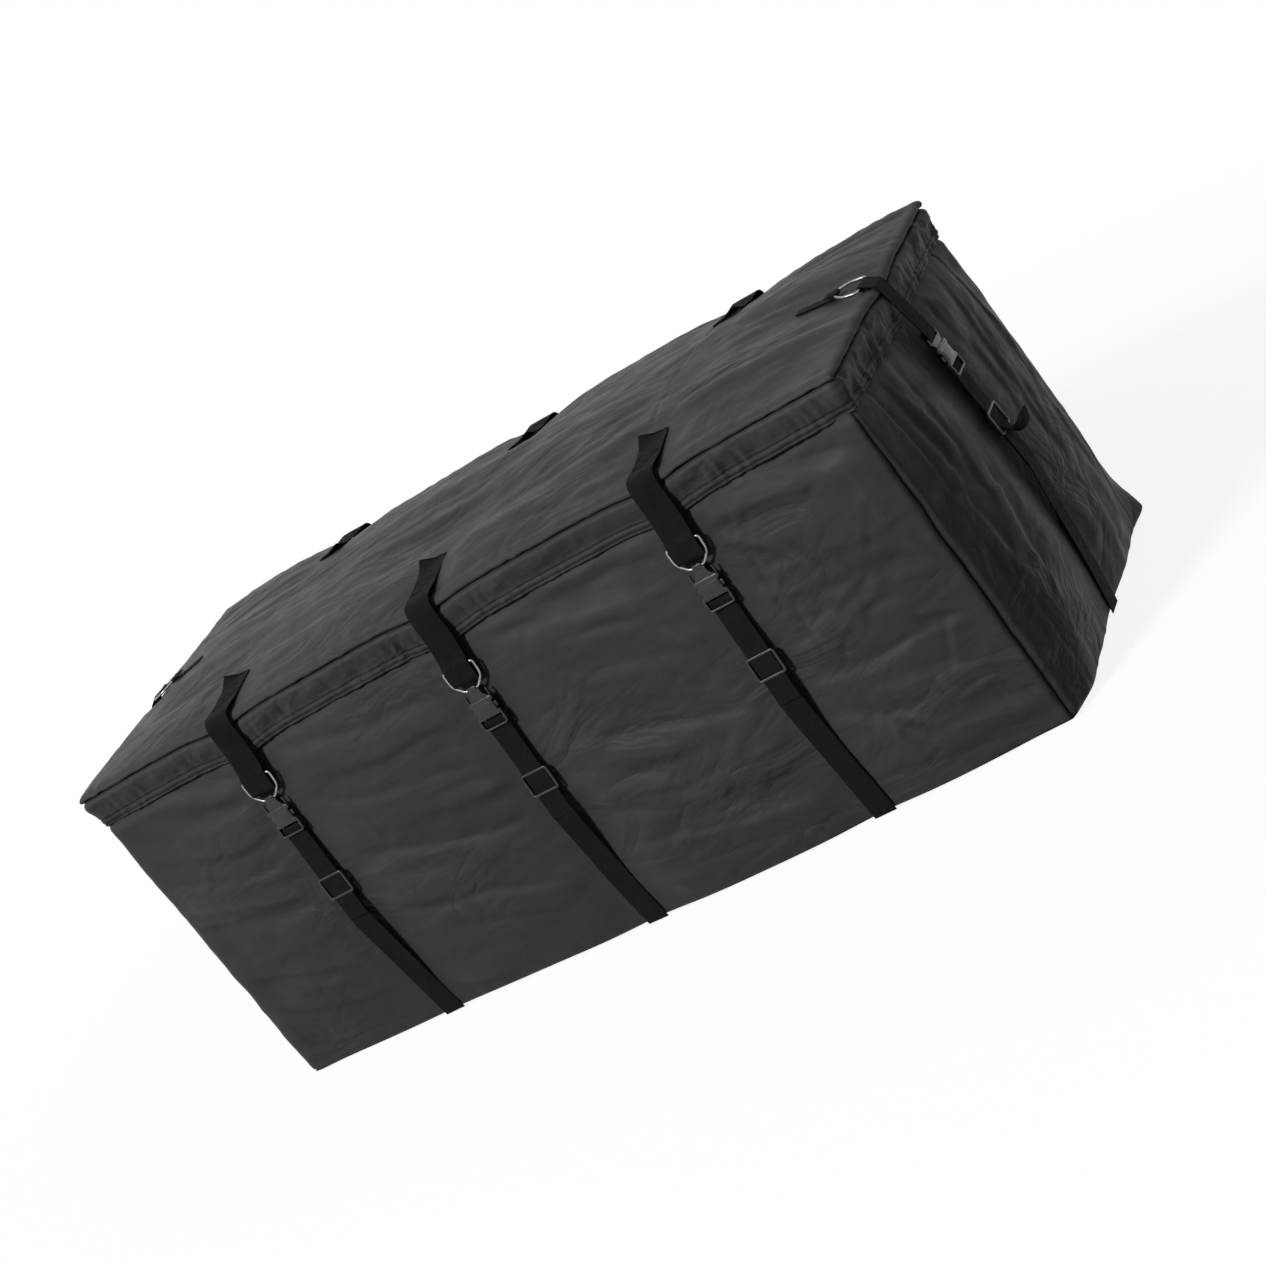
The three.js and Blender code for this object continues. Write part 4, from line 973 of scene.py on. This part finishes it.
def makeUpperZip():
    """The tape and half of the chain that hang from the lid behind the flap: a flat strip, and a ribbed bead
    whose section swells once to each tooth."""
    slit, chain = zipParts["slit"], zipParts["slit"] + zipParts["chainHigh"]
    top = zipParts["top"] - zipParts["line"]
    for name, low, high, thick, step, paint in (
            ("upperZipTape", chain, top, zipParts["tape"], zipParts["tapeStep"], webPaint),
            ("upperZipChain", slit, chain, zipParts["chainThick"], zipParts["step"], plasticPaint)):
        s = np.arange(0.004, flapLength - 0.004, step)[:, None]
        turn = np.linspace(0, 2 * math.pi, 8, endpoint=False)[None] + math.pi / 8
        tooth = 1.0
        if name == "upperZipChain":
            tooth = 0.84 + 0.16 * np.sign(np.sin(2 * math.pi * s / zipParts["pitch"]))
        out = np.clip(1.3 * np.cos(turn), -1, 1) * thick / 2 * tooth - zipParts["inset"]
        x, y, nx, ny = flapPath(s + 0 * turn)
        z = zipParts["line"] + (low + high) / 2 + np.clip(1.3 * np.sin(turn), -1, 1) * (high - low) / 2
        z = z + 0 * x
        a, b = np.clip(x / halfLength, -1, 1), np.clip(y / halfWidth, -1, 1)
        points = np.stack([x + nx * out, y + ny * out, z + topFollow(z) * lidPush(a, b)], -1)
        along = np.concatenate([s[:1], s, s[-1:]])
        run = np.stack([0 * along + np.arange(9)[None] * 0.002, along + 0 * np.arange(9)[None]], -1)
        dress(surface(name, capped(points), run, around=True), paint)


makeFlap()
makeHemStitches()
makeUpperZip()
print("storm flap made")

# ---- webbing ----

webbing = {"thick": 0.0016, "step": 0.0024, "soften": 0.0016, "ribs": 0.16, "ribPitch": 0.0042,
           "sewnFrom": 0.05, "sewnTo": 0.085, "sewnInset": 0.0035}
places = {"front_left": (1, 0, 0), "front_middle": (1, 0, 0), "front_right": (1, 0, 0),
          "back_left": (-1, 0, 0), "back_middle": (-1, 0, 0), "back_right": (-1, 0, 0),
          "left_end": (0, -1, 0), "right_end": (0, 1, 0)}


def camel(name):
    words = name.split("_")
    return words[0] + "".join(word.capitalize() for word in words[1:])


def nodePoints(node):
    mesh = nodes[node].data
    co = np.zeros(len(mesh.vertices) * 3, np.float32)
    mesh.vertices.foreach_get("co", co)
    return co.reshape(-1, 3).astype(float)


def bandRoute(node, across):
    """The centre line of a webbing solid: its flat side is a loop of corners, half along each face of the
    band, so each corner and its mate lie one thickness apart, and the line runs midway between them."""
    mesh = nodes[node].data
    points = nodePoints(node)
    level = points @ across
    low, high = level.min(), level.max()
    flat = np.round(points - np.outer(level, across), 5)
    mesh.calc_loop_triangles()
    corners = np.zeros(len(mesh.loop_triangles) * 3, np.int32)
    mesh.loop_triangles.foreach_get("vertices", corners)
    corners = corners.reshape(-1, 3)
    cap = corners[(level[corners] > high - 1e-5).all(1)]
    keep, number = np.unique(flat, axis=0, return_inverse=True)
    number = number.ravel()
    edges = np.concatenate([number[cap[:, [0, 1]]], number[cap[:, [1, 2]]], number[cap[:, [2, 0]]]])
    known = {tuple(edge) for edge in edges}
    onward = {int(p): int(q) for p, q in edges if (q, p) not in known}
    loop = [next(iter(onward))]
    while onward[loop[-1]] != loop[0]:
        loop.append(onward[loop[-1]])
    ring = keep[loop]
    count = len(ring)
    gaps = [np.linalg.norm(ring - np.roll(ring[::-1], shift, axis=0), axis=1) for shift in range(count)]
    best = int(np.argmin([gap.max() if gap.min() > 1e-6 else 9 for gap in gaps]))
    partner = np.roll(np.arange(count)[::-1], best)
    start = next(i for i in range(count) if partner[i] == (i - 1) % count)
    order = (start + np.arange(count // 2)) % count
    return (ring[order] + ring[partner[order]]) / 2, (low + high) / 2, high - low


def evenLine(line, soften):
    """The same line with even steps, its corners softened by a narrow bell; its ends stay."""
    run = runs(line)
    count = max(8, round(run[-1] / (webbing["step"] / 3)))
    dense = onLine(np.linspace(0, run[-1], count), run, line)
    width = soften / (run[-1] / (count - 1))
    reach = max(1, int(3 * width))
    before, after = 2 * dense[0] - dense[reach:0:-1], 2 * dense[-1] - dense[-2:-reach - 2:-1]
    padded = np.concatenate([before, dense, after])
    soft = np.stack([np.convolve(padded[:, k], bell(max(width, 1e-6), reach), "valid") for k in range(3)], 1)
    return soft[::3] if (count - 1) % 3 == 0 else np.concatenate([soft[::3], soft[-1:]])


def outward(line, across):
    return unit(np.cross(across, unit(np.gradient(line, axis=0))))


def band(name, line, across, level, width, paint, body="bag", stands=(), ribs=0.0, lift=None):
    """Webbing carried along a line: a flat section with round edges, its middle a little crowned, its edges a
    little thicker, and its faces even or ribbed across. Across is one direction, or one for each place."""
    across = np.broadcast_to(across, line.shape)
    out = outward(line, across)
    run = runs(line)
    thick = webbing["thick"] / 2
    side = width / 2 - thick
    flat = np.linspace(-1, 1, 15)
    turn = np.linspace(-math.pi / 2, math.pi / 2, 5)[1:-1]
    edgeOut, edgeUp = thick * np.cos(turn), thick * np.sin(turn)
    w = np.concatenate([flat * side, side + edgeOut[::-1], -flat * side, -side - edgeOut])
    n = np.concatenate([np.full(15, thick), edgeUp[::-1], np.full(15, -thick), edgeUp])
    swell = 1 + 0.16 * hill(np.abs(w) - side, 0.0012)
    rib = 1 + ribs * np.sin(2 * math.pi * run / webbing["ribPitch"])[:, None]
    offset = n[None] * swell[None] * rib + 0.00035 * np.sin(run[:, None] / 0.031 + w[None] * 90)
    if lift is not None:
        offset = offset + lift(run, w)
    points = (line + across * level)[:, None] + across[:, None] * w[None, :, None]
    points = capped(points + out[:, None] * offset[..., None])
    around = np.concatenate([[0], np.cumsum(np.hypot(np.diff(w), np.diff(n)))])
    around = np.concatenate([around, [around[-1] + math.hypot(w[0] - w[-1], n[0] - n[-1])]])
    shape = (len(run), len(around))
    marks = np.stack([np.broadcast_to(around, shape), np.broadcast_to(run[:, None], shape)], -1)
    marks = np.concatenate([marks[:1], marks, marks[-1:]])
    piece = surface(name, points, marks, around=True, flip=True)
    dress(piece, paint, body=body, stands=stands)


slideAxes = {place: np.array(joint["axis"], float) for joint in frame["joints"] for place in places
             if joint["child"] == place + "_slider"}
hardware = {"drop": 0.212, "endDrop": 0.196, "plane": 0.0034, "loopSlack": 0.025, "bend": 0.019,
            "bendLift": 0.0135, "legStand": 0.0040, "curl": 0.009}


def middleOf(points):
    return (points.min(0) + points.max(0)) / 2


def stackFrame(place):
    """The buckle's own frame: x across the webbing, -y out of the bag, z up the strap, its start at the
    ring's wide bar. It follows from where the slider's solid lies."""
    up, across = slideAxes[place], np.array(places[place], float)
    turn = np.stack([across, np.cross(up, across), up], 1)
    middle = turn @ middleOf(nodePoints(place + "_strap_slider") @ turn)
    slider = middle + turn @ np.array([0, 0.001, 0])
    drop = hardware["endDrop" if place.endswith("end") else "drop"]
    return turn, slider + up * drop - turn[:, 1] * hardware["plane"], slider


def rounded(line, turn, start):
    """The top strap: its sewn loop hangs a little below the ring's bar, its front leg lies in front of that
    bar, and it bends over the lid's edge in a wide curve."""
    low = ((line - start) @ turn)[:, 2] < 0.0008
    line = line - np.outer(hardware["loopSlack"] * low, turn[:, 2])
    if ((line[0] - line[-1]) @ turn)[2] < 0:
        line = line[::-1]
    soft, plain = evenLine(line, hardware["bend"]), evenLine(line, webbing["soften"])
    local = (plain - start) @ turn
    edge = np.argmax(local[:, 2] - local[:, 1])
    away = np.abs(np.arange(len(plain)) - edge) * webbing["step"]
    share = ease((0.07 - away) / 0.035)[:, None]
    lift = hardware["bendLift"] * hill(away, 0.034)[:, None] * (turn[:, 2] - turn[:, 1]) / math.sqrt(2)
    lowest = int(np.argmin(local[:, 2]))
    near = zeroOne((0.012 - local[:, 2]) / 0.008) * zeroOne((local[:, 2] + 0.027) / 0.006)
    legs = (np.arange(len(plain)) < lowest, np.arange(len(plain)) > lowest)
    depths = [float((local[leg, 1] * near[leg]).sum() / max(near[leg].sum(), 1e-9)) for leg in legs]
    front = legs[int(np.argmin(depths))]
    shift = np.where(front, np.minimum(0, -hardware["legStand"] - local[:, 1]) * near, 0.0)
    return plain * (1 - share) + soft * share + lift + np.outer(shift, turn[:, 1])


def curl(run, w):
    """One free corner of the top strap lifts off the lid."""
    corner = zeroOne(1 - run[:, None] / 0.034) ** 1.6 * np.clip(w[None] / 0.022, 0, 1.2) ** 1.5
    return hardware["curl"] * corner


def makeStraps():
    routes = {}
    for place, across in places.items():
        across = np.array(across, float)
        turn, start, _ = stackFrame(place)
        upper = ("lid_tab", "link_strap") if place.endswith("end") else ("top_strap",)
        for kind in (*upper, "side_strap"):
            node = f"{place}_{kind}"
            line, level, width = bandRoute(node, across)
            lift = None
            if kind == "top_strap":
                shift = across * level
                even = rounded(line + shift, turn, start) - shift
                turned = np.cross(across, even[2] - even[0])[2] < 0
                lift = (lambda run, w: -curl(run, -w)) if turned else curl
            else:
                even = evenLine(line, webbing["soften"])
            routes[node] = (even, across, level, width)
            isLink = kind == "link_strap"
            band(camel(node), even, across, level, width, ribPaint if isLink else webPaint, stands=(node,),
                 ribs=webbing["ribs"] if isLink else 0.0, lift=lift)
    return routes


def strapStitches(routes):
    """A sewn box with a cross where each top strap is sewn to the lid."""
    paths = []
    for node, (line, across, level, width) in routes.items():
        if not node.endswith("top_strap"):
            continue
        run, out = runs(line), unit(np.cross(across, np.gradient(line, axis=0)))
        low, high, half = webbing["sewnFrom"], webbing["sewnTo"], width / 2 - webbing["sewnInset"]
        corners = [(low, -half), (high, -half), (high, half), (low, half), (low, -half), (high, half),
                   (high, half), (high, -half), (low, half)]
        at, w = (np.concatenate([np.linspace(a[k], b[k], 30) for a, b in zip(corners, corners[1:])])
                 for k in (0, 1))
        normal = unit(onLine(at, run, out) * (1.0 if out[3, 2] > 0 else -1.0))
        points = onLine(at, run, line) + np.outer(level + w, across) + normal * (webbing["thick"] / 2)
        paths.append((points, normal))
    stitches("strapStitches", paths)


strapStitches(makeStraps())
print("webbing made")

# ---- buckles, rings and sliders, in millimetres in the stack's own frame ----


def roundBox(low, high, radius):
    """A box with rounded edges, as rings from pole to pole: the nearest corner of the inner box plus the
    radius along each direction of a ball."""
    low, high = np.array(low, float), np.array(high, float)
    radius = min(radius, float((high - low).min()) / 2 * 0.98)
    rise = np.radians(np.concatenate([np.linspace(-90, 0, 4), np.linspace(0, 90, 4)]))[:, None]
    turn = np.radians(np.concatenate([np.linspace(90 * k, 90 * k + 90, 4) for k in range(4)]))[None]
    sides = [np.repeat(signs, 4)[None] + 0 * rise for signs in ([1, -1, -1, 1], [1, 1, -1, -1])]
    sides = np.stack([*sides, np.repeat([-1, 1], 4)[:, None] + 0 * turn], -1)
    ball = np.stack([np.cos(rise) * np.cos(turn), np.cos(rise) * np.sin(turn), np.sin(rise) + 0 * turn], -1)
    return capped((low + high) / 2 + sides * ((high - low) / 2 - radius) + ball * radius)


def boxPair(near, far, low, high, radius):
    """The same box at the left and at the right, from near to far off the middle."""
    return [roundBox((-far, *low), (-near, *high), radius), roundBox((near, *low), (far, *high), radius)]


def filleted(corners, radius, closed=True, steps=7):
    """A line through corners, each rounded by a quadratic curve that starts its radius before the corner."""
    corners = np.array(corners, float)
    pieces = []
    for k, here in enumerate(corners):
        if not closed and k in (0, len(corners) - 1):
            pieces.append(here[None])
            continue
        back, ahead = corners[k - 1] - here, corners[(k + 1) % len(corners)] - here
        size = radius[k] if isinstance(radius, list) else radius
        reach = min(size, 0.48 * np.linalg.norm(back), 0.48 * np.linalg.norm(ahead))
        t = np.linspace(0, 1, steps)[:, None]
        first, last = here + unit(back) * reach, here + unit(ahead) * reach
        pieces.append(first * (1 - t) ** 2 + 2 * here * t * (1 - t) + last * t ** 2)
    return np.concatenate(pieces)


def rod(path, radius, closed=False, depth=None):
    """A round rod along a line; depth makes its section an oval. Open ends are half balls, and the long
    straight runs of a closed line are divided."""
    if closed:
        steps = [np.linspace(0, 1, 4, endpoint=False) if np.linalg.norm(b - a) > 8 else [0.0]
                 for a, b in zip(path, np.roll(path, -1, 0))]
        path = np.concatenate([a + np.outer(t, b - a) for a, b, t in zip(path, np.roll(path, -1, 0), steps)])
        path = np.concatenate([path, path[:1]])
        tangent = np.roll(path[:-1], -1, 0) - np.roll(path[:-1], 1, 0)
        tangent = unit(np.concatenate([tangent, tangent[:1]]))
    else:
        tangent = unit(np.gradient(path, axis=0))
    size = np.ones(len(path))
    if not closed:
        angles = np.radians([80, 55, 28])
        head = path[0] - np.outer(np.sin(angles), tangent[0]) * radius
        tail = path[-1] + np.outer(np.sin(angles[::-1]), tangent[-1]) * radius
        path = np.concatenate([head, path, tail])
        size = np.concatenate([np.cos(angles), size, np.cos(angles[::-1])])
        tangent = np.concatenate([np.repeat(tangent[:1], 3, 0), tangent, np.repeat(tangent[-1:], 3, 0)])
    side = unit(np.cross(tangent, (0, 1.0, 0)))
    deep = np.cross(side, tangent)
    turn = np.linspace(0, 2 * math.pi, 14, endpoint=False)[None, :, None]
    section = side[:, None] * np.cos(turn) * radius + deep[:, None] * np.sin(turn) * (depth or radius)
    rings = path[:, None] + section * size[:, None, None]
    return rings if closed else capped(rings)


def plate(outline, low, high, radius, middle):
    """A flat moulding with rounded edges: its outline, drawn in by the radius at both faces."""
    ahead = np.roll(outline, -1, 0) - np.roll(outline, 1, 0)
    out = unit(np.stack([ahead[:, 1], -ahead[:, 0]], 1))
    rings = []
    for degrees in (-90, -55, -25, 0, 0, 25, 55, 90):
        angle = math.radians(degrees)
        base = low + radius if len(rings) < 4 else high - radius
        ring = outline - out * radius * (1 - math.cos(angle))
        level = np.full(len(ring), base + radius * math.sin(angle))
        rings.append(np.stack([ring[:, 0], level, ring[:, 1]], -1))
    rings = np.array(rings)
    poles = [np.broadcast_to(np.array([middle[0], y, middle[1]]), rings[:1].shape) for y in (low, high)]
    return np.concatenate([poles[0], rings, poles[1]])


def assembled(name, parts, place, paint, body, stands):
    """Joins closed rings of points to one piece, placed by its frame, with its doubled points merged."""
    turn, start = place
    points, faces, count = [], [], 0
    for rings in parts:
        index = np.arange(rings.shape[0] * rings.shape[1]).reshape(rings.shape[:2]) + count
        faces.append(quadsOf(np.concatenate([index, index[:, :1]], axis=1)))
        points.append(rings.reshape(-1, 3))
        count += index.size
    piece = meshFrom(name, (np.concatenate(points) / 1000) @ turn.T + start, np.concatenate(faces))
    shape = bmesh.new()
    shape.from_mesh(piece.data)
    bmesh.ops.remove_doubles(shape, verts=shape.verts, dist=1e-6)
    bmesh.ops.dissolve_degenerate(shape, edges=shape.edges, dist=1e-7)
    bmesh.ops.recalc_face_normals(shape, faces=shape.faces)
    shape.to_mesh(piece.data)
    shape.free()
    dress(piece, paint, body=body, stands=stands)


ringLook = {"wire": 2.0, "corners": [(-29, 0, 0), (29, 0, 0), (28, 0, -25), (12.5, 0, -40), (-12.5, 0, -40),
                                     (-28, 0, -25)], "rounds": [6, 6, 8, 4.5, 4.5, 8]}
plugLook = {"low": -63.5, "half": 3.0, "round": 0.9,
            "waist": [(10.5, -42.5), (10.0, -46.0), (10.8, -50.5), (13.5, -55.5), (18.0, -58.6),
                      (21.5, -60.4), (20.5, -63.5)],
            "endWaist": [(21.0, -46.5), (21.4, -50.0), (17.5, -53.5), (15.5, -56.0), (18.0, -59.0),
                         (21.0, -61.0), (20.0, -63.5)]}
socketLook = {"heights": (-66.0, -59.2, -58.4, -58.0, -58.3, -59.4, -62.0, -64.5, -66.5, -75.0, -82.5, -84.5,
                          -87.0, -89.2, -90.0),
              "wide": (19.4, 19.4, 19.7, 20.4, 21.4, 22.3, 22.9, 22.6, 18.3, 17.8, 18.3, 22.6, 22.9, 22.4,
                       21.2),
              "deep": (3.5, 3.5, 3.8, 4.5, 5.3, 5.9, 6.3, 6.3, 6.3, 6.3, 6.3, 6.3, 6.3, 6.0, 5.0)}


def plugParts(isEnd):
    """The male half: head, waisted body, two release arms beside the waist, and the prongs in the socket."""
    top = -46.0 if isEnd else -42.0
    waist = plugLook["endWaist" if isEnd else "waist"]
    right = filleted([(0.0, top), *waist, (0.0, plugLook["low"])], 2.6, closed=False, steps=5)[1:-1]
    outline = np.concatenate([right, (right * np.array([-1, 1]))[::-1]])[::-1]
    parts = [plate(outline, -plugLook["half"], plugLook["half"], plugLook["round"], (0.0, -57.0)),
             roundBox((-7.5, -3.7, -60.5), (7.5, 3.7, -57.5), 1.2)]
    if isEnd:
        parts += boxPair(19.9, 23.4, (-3.0, -50.0), (3.0, -37.6), 1.4)
        parts.append(rod(np.array([(-21.5, 0, -40.0), (0, 0, -40.0), (21.5, 0, -40.0)]), 2.0))
    else:
        parts.append(roundBox((-8.0, -4.0, -44.4), (8.0, 4.0, -35.4), 1.8))
    for side in (-1, 1):
        arm = [(side * 18.0, 0, -62.0), (side * 20.8, 0, -55.0), (side * 19.6, 0, -47.5)]
        if not isEnd:
            parts.append(rod(filleted(arm, 5, closed=False), 1.7, depth=2.6))
        prong = [(side * 15.5, 0, -60.0), (side * 16.0, 0, -69.0), (side * 16.8, 0, -80.0)]
        parts.append(rod(filleted(prong, 4, closed=False), 1.4, depth=2.4))
    return parts + boxPair(16.5, 22.3, (-2.6, -79.5), (2.6, -70.2), 1.6)


def socketParts():
    """The female half: a rounded shell with a raised mouth, waisted at its side windows, two rails, the
    ladder bar, the round-cornered low bar and a plate on its face."""
    heights, wide, deep = (np.array(socketLook[key])[:, None] for key in ("heights", "wide", "deep"))
    turn = np.linspace(0, 2 * math.pi, 40, endpoint=False)
    x, y = (np.sign(wave) * np.abs(wave) ** (1 / 3) for wave in (np.cos(turn), np.sin(turn)))
    rim = [(-21.2, -4.3, -96.0), (-21.2, -4.3, -106.0), (21.2, -4.3, -106.0), (21.2, -4.3, -96.0)]
    rim = filleted(rim, 4.5, closed=False)
    return [capped(np.stack([wide * x, deep * y, heights + 0 * x], -1)),
            *boxPair(19.9, 23.0, (-5.6, -105.5), (5.2, -88.0), 1.3), rod(rim, 1.95),
            rod(np.array([(-21.0, 0.7, -96.0), (0, 0.7, -96.0), (21.0, 0.7, -96.0)]), 1.6),
            roundBox((-15.0, -6.45, -84.0), (15.0, -5.6, -66.5), 0.4)]


def sliderParts():
    """A round-cornered frame whose two end bars pass in front of the webbing, its middle bar behind it."""
    path = filleted([(-23, -3.4, 18.2), (23, -3.4, 18.2), (23, -3.4, -18.2), (-23, -3.4, -18.2)], 4.0)
    return [rod(path, 2.2, closed=True, depth=1.75), *boxPair(20.9, 25.0, (-4.6, -17.0), (3.2, 17.0), 1.4),
            roundBox((-23, 1.3, -3.4), (23, 3.2, 3.4), 0.9)]


def endRingFrame(place):
    """The ring that lies on the lid: its own directions, from where its solid's points lie."""
    across = np.array(places[place], float)
    points = nodePoints(place + "_ring")
    middle = middleOf(points)
    flat = points - middle
    wide = flat @ across
    inPlane = flat - np.outer(wide, across)
    up = np.linalg.svd(inPlane, full_matrices=False)[2][0]
    if np.corrcoef(np.abs(wide), inPlane @ up)[0, 1] < 0:
        up = -up
    turn = np.stack([across, np.cross(up, across), up], 1)
    local = flat @ turn
    return turn, middle + turn @ np.array([*middleOf(local)[:2], local[:, 2].max() - ringLook["wire"] / 1000])


def makeHardware():
    for place in places:
        isEnd = place.endswith("end")
        turn, start, slider = stackFrame(place)
        stack = (turn, start)
        ringFrame = endRingFrame(place) if isEnd else stack
        ring = rod(filleted(ringLook["corners"], ringLook["rounds"]), ringLook["wire"], closed=True)
        for kind, parts, where, node, paint, slot, body in (
                ("Ring", [ring], ringFrame, "_ring", steelPaint, "steel", "bag"),
                ("Plug", plugParts(isEnd), stack, "_buckle_plug", plasticPaint, "plastic", "bag"),
                ("Socket", socketParts(), stack, "_buckle_socket", plasticPaint, "plastic", "bag"),
                ("Slider", sliderParts(), (turn, slider), "_strap_slider", plasticPaint, "plastic",
                 place + "_slider")):
            assembled(camel(place) + kind, parts, where, paint, body, (place + node,))


looseTail = {"width": 0.030, "acrossEnd": (0.35, 0.4, -0.85),
             "places": [(0, -5.6, -11), (0, -8.4, -16), (3, -12.5, -22), (10, -19, -26), (20, -25, -27),
                        (32, -30, -25)]}


def makeLooseTail():
    """The webbing's free end at the right end's slider: it turns over the low bar and sticks out."""
    turn, _, slider = stackFrame("right_end")
    share = np.linspace(0, 1, 26)
    line = easing(share, 6, 0.0, 1.0) @ np.array(looseTail["places"], float) / 1000
    twist = ease((share - 0.15) / 0.6)
    across = unit(np.outer(1 - twist, (1, 0, 0)) + np.outer(twist, looseTail["acrossEnd"]))
    tangent = unit(np.gradient(line, axis=0))
    across = unit(across - tangent * (across * tangent).sum(1, keepdims=True))
    band("rightEndTail", line @ turn.T + slider, across @ turn.T, 0.0, looseTail["width"], webPaint,
         body="right_end_slider")


makeHardware()
makeLooseTail()
print("buckles, rings and sliders made")

# ---- zip under the flap keeps its solids, with softer edges ----

zipFinish = {"zip_lower_tape": webPaint, "zip_slider": steelPaint, "zip_pull": steelPaint}
for zipNode, zipPaint in zipFinish.items():
    zipPiece = nodes[zipNode]
    zipPiece.data.materials.clear()
    zipPiece.data.materials.append(zipPaint)
    zipPiece.modifiers.new("weld", "WELD").merge_threshold = 0.00001
    softEdge = zipPiece.modifiers.new("edge", "BEVEL")
    softEdge.width, softEdge.segments, softEdge.limit_method = 0.0003, 2, "ANGLE"
    softEdge.angle_limit = math.radians(40)
